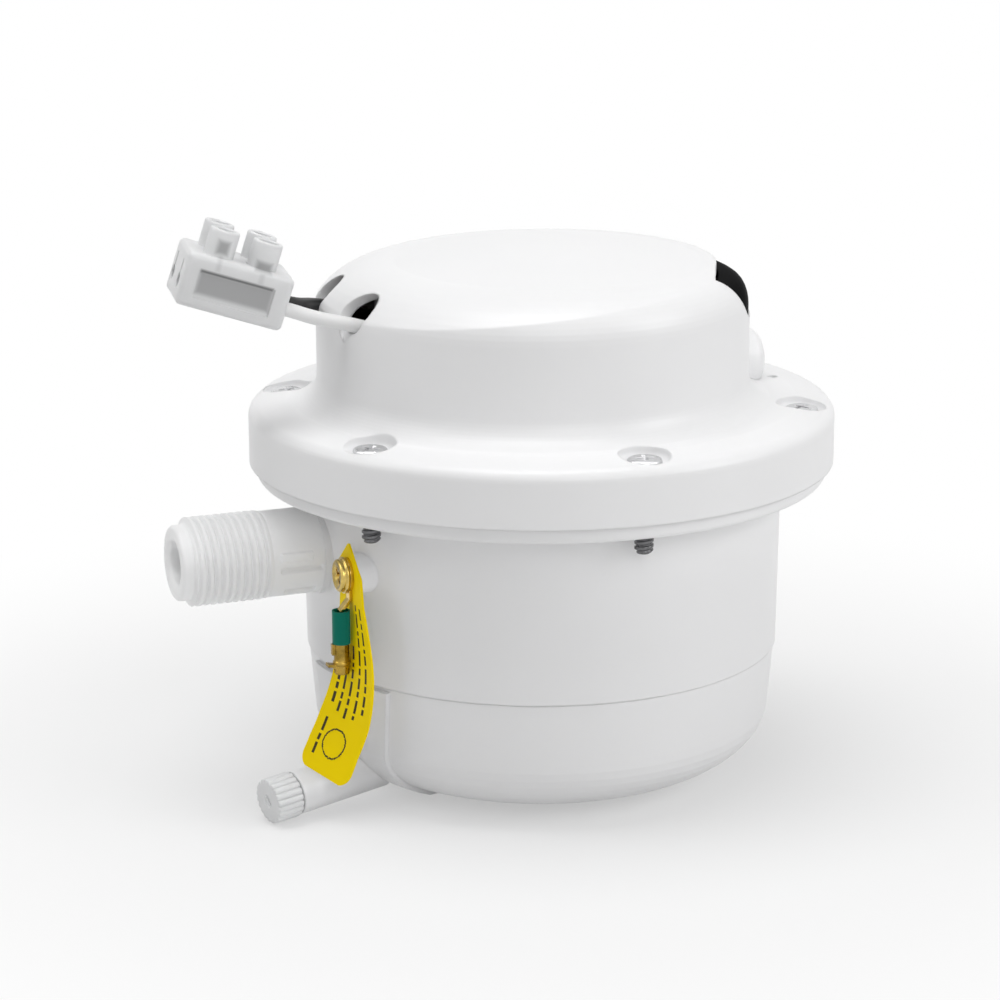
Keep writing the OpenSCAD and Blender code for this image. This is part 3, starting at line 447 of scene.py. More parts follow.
# ---------------------------------------------------------------- materials
class Nodes:
    """A material's node tree, with its Principled shader and a few short calls."""

    def __init__(self, name):
        self.material = bpy.data.materials.new(name)
        self.material.use_nodes = True
        self.tree = self.material.node_tree
        self.shader = self.tree.nodes["Principled BSDF"]
        self.position = self.add("ShaderNodeTexCoord").outputs["Object"]

    def add(self, kind, **values):
        node = self.tree.nodes.new(kind)
        for key, value in values.items():
            setattr(node, key, value)
        return node

    def link(self, out, into):
        self.tree.links.new(out, into)

    def noise(self, scale, detail, rough=0.5):
        node = self.add("ShaderNodeTexNoise")
        node.inputs["Scale"].default_value = scale
        node.inputs["Detail"].default_value = detail
        node.inputs["Roughness"].default_value = rough
        self.link(self.position, node.inputs["Vector"])
        return node.outputs["Fac"]

    def ramp(self, value, stops):
        node = self.add("ShaderNodeValToRGB")
        elements = node.color_ramp.elements
        while len(elements) < len(stops):
            elements.new(0.5)
        for element, (place, colour) in zip(elements, stops):
            element.position = place
            element.color = (*colour, 1)
        self.link(value, node.inputs["Fac"])
        return node.outputs["Color"]

    def spread(self, value, low, high):
        """Stretches the middle of a noise, 0.3 to 0.7, to the range from low to high."""
        node = self.add("ShaderNodeMapRange")
        node.inputs["From Min"].default_value = 0.3
        node.inputs["From Max"].default_value = 0.7
        node.inputs["To Min"].default_value = low
        node.inputs["To Max"].default_value = high
        self.link(value, node.inputs["Value"])
        return node.outputs["Result"]

    def math(self, operation, first, second):
        node = self.add("ShaderNodeMath", operation=operation)
        for socket, value in zip(node.inputs, (first, second)):
            if isinstance(value, float):
                socket.default_value = value
            else:
                self.link(value, socket)
        return node.outputs[0]

    def placed(self, location, turn):
        """Coordinates in a frame at a location in millimetres, turned by angles in degrees."""
        node = self.add("ShaderNodeMapping", vector_type="TEXTURE")
        node.inputs["Location"].default_value = Vector(location) * MM
        node.inputs["Rotation"].default_value = [math.radians(a) for a in turn]
        self.link(self.position, node.inputs["Vector"])
        return node.outputs["Vector"]

    def zone(self, place, low, high, soft):
        """1 inside a box and 0 outside it, with soft edges; sizes in millimetres."""
        low, high = Vector(low) * MM, Vector(high) * MM
        off = self.add("ShaderNodeVectorMath", operation="SUBTRACT")
        self.link(place, off.inputs[0])
        off.inputs[1].default_value = (low + high) / 2
        away = self.add("ShaderNodeVectorMath", operation="ABSOLUTE")
        self.link(off.outputs["Vector"], away.inputs[0])
        beyond = self.add("ShaderNodeVectorMath", operation="SUBTRACT")
        self.link(away.outputs["Vector"], beyond.inputs[0])
        beyond.inputs[1].default_value = (high - low) / 2
        parts = self.add("ShaderNodeSeparateXYZ")
        self.link(beyond.outputs["Vector"], parts.inputs["Vector"])
        furthest = self.math("MAXIMUM", self.math("MAXIMUM", parts.outputs["X"], parts.outputs["Y"]),
                             parts.outputs["Z"])
        edge = self.add("ShaderNodeMapRange", interpolation_type="SMOOTHSTEP")
        edge.inputs["From Min"].default_value = -soft * MM
        edge.inputs["From Max"].default_value = soft * MM
        edge.inputs["To Min"].default_value = 1.0
        edge.inputs["To Max"].default_value = 0.0
        self.link(furthest, edge.inputs["Value"])
        return edge.outputs["Result"]

    def bump(self, value, height, strength, edge=0.0):
        """Bump in metres, over edges softened by the given radius."""
        node = self.add("ShaderNodeBump")
        node.inputs["Distance"].default_value = height
        node.inputs["Strength"].default_value = strength
        self.link(value, node.inputs["Height"])
        if edge:
            bevel = self.add("ShaderNodeBevel", samples=6)
            bevel.inputs["Radius"].default_value = edge
            self.link(bevel.outputs["Normal"], node.inputs["Normal"])
        self.link(node.outputs["Normal"], self.shader.inputs["Normal"])

    def set(self, **values):
        for key, value in values.items():
            self.shader.inputs[key.replace("_", " ")].default_value = value


def shade(colour, factor):
    return tuple(min(1.0, c * factor) for c in colour)


def plastic(name, colour, rough, grain=4e-6, edge=0.0004, variation=0.008, scale=900, subsurface=0.0,
            gloss=0.5):
    """Moulded plastic: faint colour drift, slightly uneven gloss and a fine skin."""
    m = Nodes(name)
    drift = m.noise(scale=25, detail=2)
    m.link(m.ramp(drift, [(0.3, shade(colour, 1 - variation)), (0.7, shade(colour, 1 + variation))]),
           m.shader.inputs["Base Color"])
    m.link(m.spread(m.noise(scale=90, detail=3), rough * 0.96, rough * 1.04), m.shader.inputs["Roughness"])
    m.bump(m.noise(scale, detail=3), grain, strength=0.6, edge=edge)
    m.set(IOR=PLASTIC_IOR, Specular_IOR_Level=gloss)
    if subsurface:
        m.set(Subsurface_Weight=subsurface, Subsurface_Scale=0.0015, Subsurface_Radius=EVEN_SCATTER)
    return m.material


def milky(name, rough, clear, subsurface):
    """Translucent block plastic, greyer where metal lies close behind its wall, and with a painted shadow
    line along each window's top edge.
    """
    m = Nodes(name)
    place = m.placed(BLOCK_FOOT, BLOCK_TURN)
    grey = m.math("MULTIPLY", m.noise(scale=160, detail=3), 0.10)
    # Metal seen through the wall, and a painted shadow line under each window's top edge
    for low, high, soft, share in BLOCK_METAL_AND_SHADE:
        grey = m.math("MAXIMUM", grey, m.math("MULTIPLY", m.zone(place, low, high, soft), share))
    m.link(m.ramp(grey, [(0.0, (0.92, 0.925, 0.93)), (1.0, (0.08, 0.08, 0.085))]),
           m.shader.inputs["Base Color"])
    m.link(m.spread(m.noise(scale=120, detail=3), rough * 0.9, rough * 1.1), m.shader.inputs["Roughness"])
    m.bump(m.noise(scale=700, detail=3), 6e-6, strength=0.6, edge=0.0003)
    m.set(IOR=PLASTIC_IOR, Transmission_Weight=clear, Subsurface_Weight=subsurface, Subsurface_Scale=0.002,
          Subsurface_Radius=EVEN_SCATTER)
    return m.material


def metal(name, colour, rough, dull):
    """Plated or bare metal with dull patches and fine marks."""
    m = Nodes(name)
    patches = m.noise(scale=260, detail=4, rough=0.6)
    m.link(m.ramp(patches, [(0.3, shade(colour, dull)), (0.65, colour)]), m.shader.inputs["Base Color"])
    marks = m.noise(scale=420, detail=5, rough=0.6)
    m.link(m.spread(marks, rough * 0.7, rough * 1.5), m.shader.inputs["Roughness"])
    m.bump(m.noise(scale=1500, detail=4, rough=0.6), 4e-6, strength=0.7, edge=0.0002)
    m.set(Metallic=1.0)
    return m.material


MATERIALS = {
    "white_shell": plastic("white_shell", (0.84, 0.84, 0.845), 0.32, edge=0.0006),
    "white_cover": plastic("white_cover", (0.85, 0.85, 0.855), 0.36, edge=0.0008),
    "natural_plastic": plastic("natural_plastic", (0.93, 0.933, 0.936), 0.34, edge=0.0, subsurface=0.25),
    "spray_plastic": plastic("spray_plastic", (0.72, 0.73, 0.75), 0.45),
    "cap_plastic": plastic("cap_plastic", (0.76, 0.765, 0.77), 0.42, edge=0.0),
    # Almost no gloss: the photo sees the key at a grazing angle, where it stays black
    "black_gloss": plastic("black_gloss", (0.008, 0.008, 0.0085), 0.26, grain=8e-6, edge=0.0006,
                           variation=0.2, gloss=0.0003),
    "black_rubber": plastic("black_rubber", (0.03, 0.03, 0.03), 0.7, grain=2e-5, variation=0.15),
    "inner_plastic": plastic("inner_plastic", (0.66, 0.66, 0.64), 0.5),
    "phenolic": plastic("phenolic", (0.22, 0.11, 0.05), 0.45, variation=0.2),
    "mica": plastic("mica", (0.58, 0.48, 0.33), 0.6, variation=0.25, scale=300, grain=3e-5),
    "screw_steel": metal("screw_steel", (0.66, 0.66, 0.67), 0.30, dull=0.85),
    "coil_wire": metal("coil_wire", (0.40, 0.40, 0.42), 0.35, dull=0.8),
    "brass": metal("brass", (0.78, 0.57, 0.17), 0.17, dull=0.5),
    "green_sleeve": plastic("green_sleeve", (0.0, 0.16, 0.11), 0.40, variation=0.06, gloss=0.12),
    "yellow_tag": plastic("yellow_tag", (0.96, 0.71, 0.0), 0.55, edge=0.0, variation=0.02, gloss=0.08),
    "white_insulation": plastic("white_insulation", (0.80, 0.80, 0.80), 0.45, grain=2e-5, scale=500),
    "black_insulation": plastic("black_insulation", (0.012, 0.012, 0.012), 0.42, grain=2e-5, scale=500,
                                gloss=0.3),
    "block_plastic": milky("block_plastic", rough=0.34, clear=0.22, subsurface=0.35),
}
# A darker brass, painted shade on the lug's barrel
SHADED_BRASS = metal("shaded_brass", (0.47, 0.31, 0.06), 0.24, dull=0.4)
# A darker steel, painted shade on the screw rods under the flange
SHADED_STEEL = metal("shaded_steel", (0.17, 0.17, 0.175), 0.26, dull=0.7)
PRINT_INK = plastic("print_ink", (0.035, 0.026, 0.006), 0.5, edge=0.0, variation=0.1, gloss=0.2)


def dress(obj, slot):
    obj.data.materials.clear()
    obj.data.materials.append(MATERIALS[slot])


def dress_cad_nodes():
    """Every CAD node takes the material of its own slot in the record."""
    for part in frame["record"]["subparts"]:
        dress(frame["nodes"][part["node"]], part["material_slot"])


dress_cad_nodes()


# ---------------------------------------------------------------- leads
def make_lead(node, route, slot):
    lead = tube(node + "_insulation", smooth_route(route, LEAD_STEPS), LEAD_RADIUS, LEAD_SIDES)
    dress(lead, slot)
    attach(lead, "root")
    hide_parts(node)


make_lead("lead_white", WHITE_ROUTE, "white_insulation")
make_lead("lead_black", BLACK_ROUTE, "black_insulation")


# ---------------------------------------------------------------- inlet nipple
def smooth_step(x, low, high):
    t = min(1.0, max(0.0, (x - low) / (high - low)))
    return t * t * (3 - 2 * t)


def thread_height(turns):
    """0 at the crest and 1 at the root, for a place along the thread counted in turns."""
    away = abs(2 * (turns % 1.0) - 1)
    return smooth_step(away, *THREAD_FLANK)


def helical_grid(start, end, pitch, levels, segments, radius_at):
    """Points and faces of a thread about Z, in rows that follow its crest from start to end."""
    rows = math.ceil(levels * ((end - start) / pitch + 2)) + 1
    points, faces = [], []
    for i in range(rows):
        for k in range(segments):
            a = 2 * math.pi * k / segments
            along = min(end, max(start, start + (i / levels - 1 + k / segments) * pitch))
            r = radius_at(along, i / levels)
            points.append((r * math.cos(a), r * math.sin(a), along))
    for i in range(rows - 1):
        for k in range(segments - 1):
            a = i * segments + k
            faces.append((a, a + 1, a + segments + 1, a + segments))
        # The last column meets the first one a whole turn further on
        if i + levels + 1 < rows:
            last, first = i * segments + segments - 1, (i + levels) * segments
            faces.append((last, first, first + segments, last + segments))
    return points, faces


def nipple_thread_radius(along, turns):
    """Radius of the thread between the nose and the neck."""
    end = NOSE_LEN + THREAD_LEN
    run_in = smooth_step(along, NOSE_LEN, NOSE_LEN + THREAD_RUN_IN)
    run_out = 1 - smooth_step(along, end - THREAD_RUN_OUT, end)
    body = NOSE_R + (NECK_R - NOSE_R) * run_in
    return body + run_in * run_out * (THREAD_R - NECK_R - THREAD_DEPTH * thread_height(turns))


def neck_radius(past, angle):
    """Radius of the neck at a distance past the thread, with its rib and grooves."""
    tilt = math.degrees(math.atan2(math.sin(angle), abs(math.cos(angle))))

    def line_share(line, soft):
        line_tilt, width, start, length = line
        off = abs(math.radians(tilt - line_tilt)) * NECK_R
        end = start + length
        share = smooth_step(past, start - soft, start + soft)
        share *= 1 - smooth_step(past, end - soft, end + soft)
        return share * (1 - smooth_step(off, width / 2 - soft, width / 2 + soft))

    groove = max(line_share(line, NECK_GROOVE_SOFT) for line in NECK_GROOVES)
    return NECK_R - NECK_GROOVE_DEPTH * groove + NECK_RIB_PROUD * line_share(NECK_RIB, NECK_RIB_SOFT)


def make_nipple():
    """Nose, thread and neck about Z, joined and then laid along the inlet's axis."""
    thread_end = NOSE_LEN + THREAD_LEN
    mouth = [(MOUTH_DEPTH, 0.0), (MOUTH_DEPTH, MOUTH_R)]
    mouth += [(along, MOUTH_R + growth) for along, growth in MOUTH_LIP]
    nose = arc_rows(NOSE_EDGE_R, NOSE_R - NOSE_EDGE_R, NOSE_EDGE_R, -80, 0, 6)
    nose += [(NOSE_LEN - NOSE_LAST_RING, NOSE_R), (NOSE_LEN, NOSE_R)]
    front = lathe("nipple_front", mouth + nose, NIPPLE_SEGMENTS)
    grid = helical_grid(NOSE_LEN, thread_end, THREAD_PITCH, THREAD_LEVELS, NIPPLE_SEGMENTS,
                        nipple_thread_radius)
    thread = weld(mesh_from("nipple_thread", *grid))
    neck_rows = []
    for i in range(NECK_STEPS + 1):
        past = (NIPPLE_LEN - thread_end) * i / NECK_STEPS
        neck_rows.append((thread_end + past, lambda a, p=past: neck_radius(p, a)))
    neck = lathe("nipple_neck", neck_rows + [(NIPPLE_LEN, 0.0)], NIPPLE_SEGMENTS)
    nipple = weld(join("inlet_nipple_threaded", [front, thread, neck]))
    nipple.data.transform(Matrix.Translation(Vector((NIPPLE_END_X, 0, INLET_Z)) * MM)
                          @ Matrix(((0, 0, 1, 0), (1, 0, 0, 0), (0, 1, 0, 0), (0, 0, 0, 1))))
    shade_by_angle(nipple, 75)
    dress(nipple, "natural_plastic")
    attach(nipple, "root")
    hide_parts("inlet_nipple")


make_nipple()


# ---------------------------------------------------------------- flange screws
def threaded_rod(name, crest_r, root_r, pitch, z_tip, z_top, segments=40):
    """A rod about Z with a thread that fades into a short point at its lower end."""
    rows = int((z_top - z_tip) / pitch * ROD_LEVELS)
    point_start, point_end = ROD_POINT
    points = []
    for i in range(rows + 1):
        z = z_tip + (z_top - z_tip) * i / rows
        full = smooth_step(z, z_tip + point_start, z_tip + point_end)
        for k in range(segments):
            a = 2 * math.pi * k / segments
            height = thread_height((z - z_tip) / pitch - a / (2 * math.pi))
            radius = crest_r - (crest_r - root_r) * height
            radius *= ROD_TIP_SHARE + (1 - ROD_TIP_SHARE) * full
            points.append((radius * math.cos(a), radius * math.sin(a), z))
    faces = grid_faces(rows + 1, segments)
    last = rows * segments
    faces += [tuple(reversed(range(segments))), tuple(range(last, last + segments))]
    return mesh_from(name, points, faces)


def tapered_bar(name, length, width, z_low, z_high, angle):
    """A bar that narrows downwards, for one slot of a cross recess."""
    points = []
    for z, long_share, wide_share in ((z_low, *SLOT_TAPER), (z_high, 1.0, 1.0)):
        for x, y in ((-1, -1), (1, -1), (1, 1), (-1, 1)):
            points.append((x * length / 2 * long_share, y * width / 2 * wide_share, z))
    faces = [(3, 2, 1, 0), (4, 5, 6, 7), (0, 1, 5, 4), (1, 2, 6, 5), (2, 3, 7, 6), (3, 0, 4, 7)]
    bar = mesh_from(name, points, faces)
    bar.data.transform(Matrix.Rotation(angle, 4, "Z"))
    return bar


def cross_recess(name, slot, top, angle):
    """Two crossed bars for a recess in a face at the height top; slot is its length, width and depth."""
    length, width, depth = slot
    return [tapered_bar(f"{name}{i}", length, width, top - depth, top + SLOT_PAST, angle + i * math.pi / 2)
            for i in (0, 1)]


def screw_head(name, radius, z_seat, height, angle):
    """A low pan head with a cross recess."""
    top = z_seat + height
    edge = height * SCREW_EDGE_SHARE
    rows = [(z_seat, 0.0), (z_seat, radius - SCREW_CHAMFER), (z_seat + SCREW_CHAMFER, radius)]
    rows += [(top - edge, radius)] + arc_rows(top - edge, radius - edge, edge, 10, 80, 6) + [(top, 0.0)]
    head = lathe(name, rows, segments=64)
    combine(head, cross_recess(name + "_slot", SCREW_SLOT, top, angle))
    return shade_by_angle(head, 35)


def make_flange_screws():
    """Six pan heads on threaded rods, each turned to an angle of its own, with a darker steel below the seat
    as painted shade under the flange.
    """
    pieces = []
    first_turn, next_turn = SCREW_RECESS_TURN
    for i in range(SCREW_COUNT):
        a = math.radians(SCREW_FIRST + 360 / SCREW_COUNT * i)
        place = Matrix.Translation(Vector((math.cos(a), math.sin(a), 0)) * SCREW_CIRCLE * MM)
        head = screw_head(f"head{i}", SCREW_HEAD_R, SCREW_SEAT_Z, SCREW_HEAD_H,
                          math.radians(first_turn + next_turn * i))
        rod = threaded_rod(f"rod{i}", SCREW_SHANK_R, SCREW_SHANK_R - SCREW_THREAD_DEPTH, SCREW_PITCH,
                           SCREW_TIP_Z, SCREW_SEAT_Z + SCREW_SINK)
        for piece in (head, rod):
            piece.data.transform(place)
            pieces.append(piece)
    screws = join("flange_screws_cross_head", pieces)
    dress(screws, "screw_steel")
    # Below the seat the rods take a darker steel: painted shade under the flange
    screws.data.materials.append(SHADED_STEEL)
    for polygon in screws.data.polygons:
        polygon.material_index = int(polygon.center.z < (SCREW_SEAT_Z - SCREW_SHADE_BELOW) * MM)
    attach(screws, "root")
    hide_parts("flange_screws")


make_flange_screws()


# ---------------------------------------------------------------- spigot cap
def make_cap():
    """The fluted cap about Z, laid along the spigot."""
    def fluted(radius):
        """Round lobes with sharp grooves between them."""
        def at(angle):
            across = 2 * ((angle * FLUTE_COUNT / (2 * math.pi)) % 1.0) - 1
            return radius - FLUTE_DEPTH * (1 - math.sqrt(1 - (FLUTE_SHARE * across) ** 2))
        return at

    dimple_outer, dimple_inner, dimple_depth = CAP_DIMPLE
    rows = [(CAP_LEN - CAP_END_T, 0.0), (CAP_LEN - CAP_END_T, CAP_BORE_R), (CAP_START, CAP_BORE_R)]
    rows += [(height, fluted(CAP_R - back)) for height, back in CAP_WALL]
    rows += [(CAP_LEN, CAP_FACE_R), (CAP_LEN, dimple_outer), (CAP_LEN - dimple_depth, dimple_inner),
             (CAP_LEN - dimple_depth, 0.0)]
    cap = lathe("spigot_cap_fluted", rows, FLUTE_COUNT * FLUTE_STEPS)
    slot_len, slot_w, slot_depth = CAP_SLOT
    combine(cap, [tapered_bar("cap_slot", slot_len, slot_w, CAP_LEN - slot_depth, CAP_LEN + SLOT_PAST,
                              CAP_SLOT_TURN)])
    shade_by_angle(cap, 42)
    outward = math.radians(180 + SPIGOT_TURN)
    joint_r, joint_z = SPIGOT_JOINT
    joint = Vector((joint_r * math.cos(outward), joint_r * math.sin(outward), joint_z))
    turn = Matrix.Rotation(outward, 4, "Z") @ Matrix.Rotation(math.radians(90 + SPIGOT_SLOPE), 4, "Y")
    cap.data.transform(Matrix.Translation(joint * MM) @ turn)
    dress(cap, "cap_plastic")
    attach(cap, "spigot_cap")
    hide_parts("spigot_cap")


make_cap()


# ---------------------------------------------------------------- selector
def make_selector():
    """The key in the dome's shoulder, with its top eased down where it meets the crown."""
    key = new_object("selector_key", frame["nodes"]["selector"].data.copy())
    for vertex in key.data.vertices:
        x, y, z = vertex.co / MM
        inward = 1 - smooth_step(math.hypot(x + DOME_SHIFT, y), *KEY_EASE_R)
        vertex.co.z -= KEY_DROP * MM * inward * smooth_step(z, *KEY_EASE_Z)
    shade_by_angle(key, 35)
    dress(key, "black_gloss")
    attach(key, "selector")
    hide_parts("selector")


make_selector()


# ---------------------------------------------------------------- return spring
def make_spring():
    """The spring's coil, which on the heater shortens above the bridge while the plunger lifts; here it
    rides on the plunger's body with a mesh of its own.
    """
    spring = new_object("return_spring_coil", frame["nodes"]["return_spring"].data.copy())
    shade_by_angle(spring, 75)
    dress(spring, "screw_steel")
    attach(spring, "plunger")
    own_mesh(spring)
    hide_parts("return_spring")


make_spring()


# ---------------------------------------------------------------- terminal block
def make_block():
    """A two-pole strip with round edges, four screw towers and a shallow window beside each insert."""
    block = box_between("terminal_block_moulded", (-BLOCK_LIP, -BLOCK_HALF_W, -BLOCK_LIP),
                        (BLOCK_LEN, BLOCK_HALF_W, BLOCK_H), BLOCK_EDGE_R)
    towers, hollows = [], []
    top = BLOCK_H + TOWER_H
    beyond = BLOCK_LEN + BLOCK_CUT_PAST
    for side in (-1, 1):
        for x in TOWER_X:
            place = Matrix.Translation(Vector((x, side * POLE_Y, 0)) * MM)
            rows = [(BLOCK_H - TOWER_SINK, 0.0), (BLOCK_H - TOWER_SINK, TOWER_R)]
            rows += arc_rows(top - TOWER_EDGE_R, TOWER_R - TOWER_EDGE_R, TOWER_EDGE_R, 0, 90, 4)
            tower = lathe("tower", rows + [(top, 0.0)], segments=48)
            past = top + TOWER_BORE_PAST
            bore = lathe("tower_bore", [(TOWER_BORE_FOOT, 0.0), (TOWER_BORE_FOOT, TOWER_BORE_R),
                                        (past - TOWER_CHAMFER, TOWER_BORE_R),
                                        (past, TOWER_BORE_R + TOWER_CHAMFER), (past, 0.0)], segments=48)
            tower.data.transform(place)
            bore.data.transform(place)
            towers.append(tower)
            hollows.append(bore)
        low, high = (Vector(corner) + Vector((0, side * POLE_Y, POLE_Z)) for corner in INSERT_ROOM)
        hollows.append(box_between("insert_room", low, high))
        port = lathe("port", [(-BLOCK_CUT_PAST, 0.0), (-BLOCK_CUT_PAST, PORT_R), (beyond, PORT_R),
                              (beyond, 0.0)], segments=32)
        port.data.transform(Matrix.Translation(Vector((0, side * POLE_Y, POLE_Z)) * MM)
                            @ Matrix.Rotation(math.radians(90), 4, "Y"))
        hollows.append(port)
        slot_w, slot_foot, slot_top = ENTRY_SLOT
        hollows.append(box_between("entry_slot",
                                   (BLOCK_LEN - ENTRY_SLOT_DEPTH, side * POLE_Y - slot_w / 2, slot_foot),
                                   (beyond, side * POLE_Y + slot_w / 2, slot_top)))
        (x_low, z_low), (x_high, z_high) = WINDOW
        y = sorted((side * (BLOCK_HALF_W - WINDOW_DEPTH), side * (BLOCK_HALF_W + BLOCK_CUT_PAST)))
        hollows.append(box_between("window", (x_low, y[0], z_low), (x_high, y[1], z_high)))
    combine(block, towers, "UNION")
    combine(block, hollows)
    shade_by_angle(block, 35)
    turn = [math.radians(a) for a in BLOCK_TURN]
    block.data.transform(Matrix.Translation(Vector(BLOCK_FOOT) * MM) @ Euler(turn).to_matrix().to_4x4())
    dress(block, "block_plastic")
    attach(block, "root")
    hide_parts("terminal_block")


make_block()


# ---------------------------------------------------------------- earth terminal
def make_earth_screw():
    """A shank and a pan head on a round-edged flange, with a cross recess."""
    rim, crown, fillet = EARTH_RIM_R, EARTH_CROWN_R, EARTH_FILLET
    rows = [(-EARTH_SHANK_LEN, 0.0), (-EARTH_SHANK_LEN, EARTH_SHANK_R), (0.0, EARTH_SHANK_R)]
    rows += [(0.0, EARTH_FLANGE_R - rim)] + arc_rows(rim, EARTH_FLANGE_R - rim, rim, -80, 90, 10)
    rows += [(2 * rim, EARTH_HEAD_R + fillet), (2 * rim + fillet, EARTH_HEAD_R)]
    rows += arc_rows(EARTH_HEAD_H - crown, EARTH_HEAD_R - crown, crown, 0, 90, 6)
    rows += [(EARTH_HEAD_H - depth, radius) for depth, radius in EARTH_DISH]
    screw = lathe("earth_screw_pan_head", rows, segments=72)
    combine(screw, cross_recess("earth_slot", EARTH_SLOT, EARTH_HEAD_H, math.radians(EARTH_SLOT_TURN)))
    shade_by_angle(screw, 40)
    place = Matrix.Translation(Vector((EARTH_SEAT_X, EARTH_Y, EARTH_Z)) * MM)
    screw.data.transform(place @ Matrix.Rotation(math.radians(-90), 4, "Y"))
    dress(screw, "brass")
    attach(screw, "root")
    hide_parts("earth_screw")


def make_lug():
    """The lug in two tones: the eye in plain brass, and the barrel with a crimp rolled round it in a darker
    brass that paints its shade.
    """
    body = new_object("lug_body", frame["nodes"]["earth_lug"].data.copy())
    core, size = CRIMP_SECTION
    rows = arc_rows(CRIMP_Z, core, size, -90, 90, 12)
    crimp = lathe("lug_crimp", rows + rows[:1], segments=48)
    crimp.data.transform(Matrix.Translation(Vector((*BARREL_AXIS, 0)) * MM))
    lug = join("earth_lug_crimped", [body, crimp])
    shade_by_angle(lug, 40)
    dress(lug, "brass")
    # The barrel below this height takes a darker brass: painted shade
    lug.data.materials.append(SHADED_BRASS)
    for polygon in lug.data.polygons:
        polygon.material_index = int(polygon.center.z < LUG_SHADE_TOP_Z * MM)
    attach(lug, "root")
    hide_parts("earth_lug")


def share_between(z, start, length):
    """0 above start, growing to 1 at a length below it."""
    return min(1.0, max(0.0, (start - z) / length))


def tag_half_width(z):
    if z > TAG_FULL_Z:
        tip = TAG_TOP_Z + TAG_TIP_PAST
        return max(TAG_TIP_HALF, TAG_HALF * (tip - z) / (tip - TAG_FULL_Z))
    if z < TAG_CORNER_Z:
        return TAG_HALF - TAG_CORNER_R + math.sqrt(max(0.0, TAG_CORNER_R ** 2 - (TAG_CORNER_Z - z) ** 2))
    return TAG_HALF


def tag_point(across, z, depth):
    """A point of the tag: across in millimetres from its middle line, depth from its middle skin."""
    turn = math.radians(TAG_TWIST) * share_between(z, TAG_TWIST_Z, TAG_TWIST_LEN)
    low, high = TAG_BOW_Z
    bow = TAG_BOW * math.sin(math.pi * (z - low) / (high - low)) if low < z < high else 0.0
    hang = 0.0 if z > TAG_BEND_Z else math.sqrt(TAG_HANG_R ** 2 - (TAG_BEND_Z - z) ** 2) - TAG_HANG_R
    lean = TAG_LEAN * share_between(z, TAG_BEND_Z, TAG_LEAN_LEN)
    return (TAG_X + hang - across * math.sin(turn) + depth * math.cos(turn),
            EARTH_Y - bow + across * math.cos(turn) + depth * math.sin(turn),
            z + lean * across)


def is_printed(across, z):
    """True where the tag carries ink: columns of plain broken bars and a plain ring."""
    ring_across, ring_z, ring_r, ring_w = TAG_RING
    if abs(math.hypot(across - ring_across, z - ring_z) - ring_r) < ring_w / 2:
        return True
    for column, (place, width, top, foot) in enumerate(TAG_BARS):
        if abs(across - place) < width / 2 and foot < z < top:
            bar_top = top
            index = column
            while bar_top > z and bar_top - foot > SHORTEST_BAR:
                length = BAR_LENGTHS[index % len(BAR_LENGTHS)]
                if bar_top - length < z:
                    return True
                bar_top -= length + BAR_GAP
                index += 1
            return False
    return False


def make_tag():
    """Two skins on a fine grid with a border between them; cells with ink take the second material."""
    columns = int(2 * TAG_HALF / TAG_CELL) + 1
    rows = int((TAG_TOP_Z - TAG_FOOT_Z) / TAG_CELL) + 1
    points, faces, inked = [], [], []
    for side in (-1, 1):
        for i in range(rows):
            z = TAG_FOOT_Z + (TAG_TOP_Z - TAG_FOOT_Z) * i / (rows - 1)
            half = tag_half_width(z)
            for k in range(columns):
                points.append(tag_point(half * (2 * k / (columns - 1) - 1), z, side * TAG_T / 2))
    skin = rows * columns
    for i in range(rows - 1):
        z = TAG_FOOT_Z + (TAG_TOP_Z - TAG_FOOT_Z) * (i + 0.5) / (rows - 1)
        half = tag_half_width(z)
        for k in range(columns - 1):
            a = i * columns + k
            quad = (a, a + 1, a + columns + 1, a + columns)
            across = half * (2 * (k + 0.5) / (columns - 1) - 1)
            if math.hypot(across, z - EARTH_Z) < EARTH_SHANK_R + TAG_HOLE_GAP:
                continue
            if is_printed(across, z):
                inked.append(len(faces))
            faces.append(quad)
            faces.append(tuple(reversed([v + skin for v in quad])))
    border = list(range(columns)) + [i * columns + columns - 1 for i in range(1, rows)]
    border += [(rows - 1) * columns + k for k in range(columns - 2, -1, -1)]
    border += [i * columns for i in range(rows - 2, 0, -1)]
    for a, b in zip(border, border[1:] + border[:1]):
        faces.append((b, a, a + skin, b + skin))
    tag = mesh_from("earth_tag_printed", points, faces)
    shade_by_angle(tag, 50)
    dress(tag, "yellow_tag")
    tag.data.materials.append(PRINT_INK)
    for index in inked:
        tag.data.polygons[index].material_index = 1
    # The photo has no yellow glow on the white shell beside the tag
    tag.visible_diffuse = False
    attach(tag, "root")
    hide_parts("earth_tag")


make_earth_screw()
make_lug()
make_tag()


# ---------------------------------------------------------------- floor, lights and background
def seen_directly(tree):
    """1 for camera, glossy and transmission rays, and 0 for the rays that light the object."""
    light_path = tree.nodes.new("ShaderNodeLightPath")
    share = light_path.outputs["Is Camera Ray"]
    for kind in ("Is Glossy Ray", "Is Transmission Ray"):
        either = tree.nodes.new("ShaderNodeMath")
        either.operation = "MAXIMUM"
        tree.links.new(share, either.inputs[0])
        tree.links.new(light_path.outputs[kind], either.inputs[1])
        share = either.outputs[0]
    return share


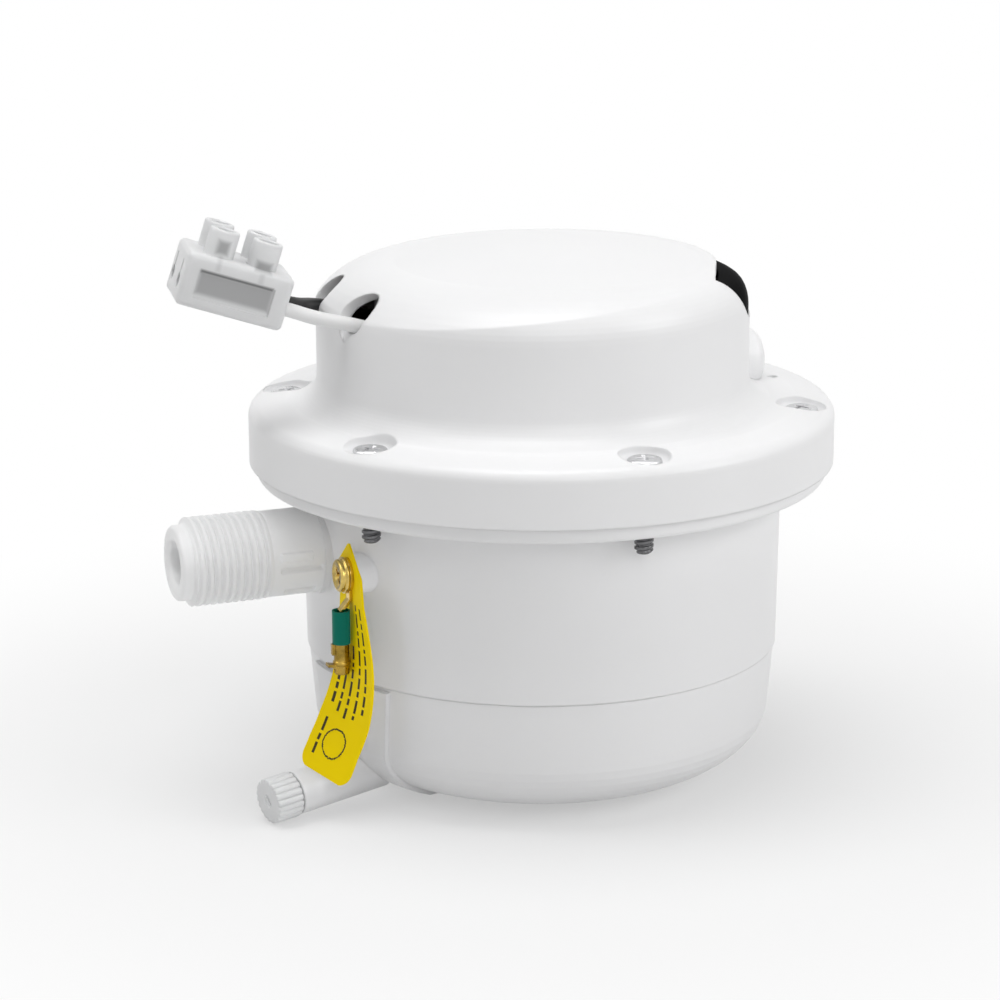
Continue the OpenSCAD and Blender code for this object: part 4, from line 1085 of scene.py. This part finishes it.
def make_floor():
    """A matt floor that takes the shadow, and turns white with distance where it is seen directly."""
    half = FLOOR_HALF
    mesh = bpy.data.meshes.new("floor")
    mesh.from_pydata([(-half, -half, 0), (half, -half, 0), (half, half, 0), (-half, half, 0)], [],
                     [(0, 1, 2, 3)])
    floor = new_object("floor", mesh)
    floor.location.z = FLOOR_Z
    material = bpy.data.materials.new("floor")
    material.use_nodes = True
    tree = material.node_tree
    tree.nodes.clear()
    add = tree.nodes.new
    out = add("ShaderNodeOutputMaterial")
    matt = add("ShaderNodeBsdfDiffuse")
    matt.inputs["Color"].default_value = (FLOOR_GREY, FLOOR_GREY, FLOOR_GREY, 1)
    white = add("ShaderNodeEmission")
    white.inputs["Strength"].default_value = 1.0
    coordinates = add("ShaderNodeTexCoord")
    distance = add("ShaderNodeVectorMath")
    distance.operation = "LENGTH"
    tree.links.new(coordinates.outputs["Object"], distance.inputs[0])
    fade = add("ShaderNodeMapRange")
    fade.interpolation_type = "SMOOTHSTEP"
    fade.inputs["From Min"].default_value, fade.inputs["From Max"].default_value = FLOOR_FADE
    fade.inputs["To Min"].default_value = FLOOR_WHITE_SHARE
    tree.links.new(distance.outputs["Value"], fade.inputs["Value"])
    share = add("ShaderNodeMath")
    share.operation = "MULTIPLY"
    tree.links.new(fade.outputs["Result"], share.inputs[0])
    tree.links.new(seen_directly(tree), share.inputs[1])
    mix = add("ShaderNodeMixShader")
    tree.links.new(share.outputs[0], mix.inputs["Fac"])
    tree.links.new(matt.outputs[0], mix.inputs[1])
    tree.links.new(white.outputs[0], mix.inputs[2])
    tree.links.new(mix.outputs[0], out.inputs["Surface"])
    mesh.materials.append(material)


def make_world():
    """White where it is seen directly, and a weak fill light for everything else."""
    world = bpy.data.worlds.new("studio")
    world.use_nodes = True
    bpy.context.scene.world = world
    tree = world.node_tree
    background = tree.nodes["Background"]
    background.inputs["Color"].default_value = (1, 1, 1, 1)
    strength = tree.nodes.new("ShaderNodeMapRange")
    strength.inputs["To Min"].default_value = SKY_FILL
    strength.inputs["To Max"].default_value = 1.0
    tree.links.new(seen_directly(tree), strength.inputs["Value"])
    tree.links.new(strength.outputs["Result"], background.inputs["Strength"])


def area_light(name, place, diameter, watts):
    data = bpy.data.lights.new(name, "AREA")
    data.shape = "DISK"
    data.size = diameter
    data.energy = watts
    light = bpy.data.objects.new(name, data)
    light.location = place
    light.rotation_mode = "QUATERNION"
    light.rotation_quaternion = (Vector(LAMP_TARGET) - Vector(place)).to_track_quat("-Z", "Y")
    bpy.context.scene.collection.objects.link(light)


make_floor()
make_world()
for lamp in LAMPS:
    area_light(*lamp)

bpy.context.scene.view_settings.view_transform = "Standard"
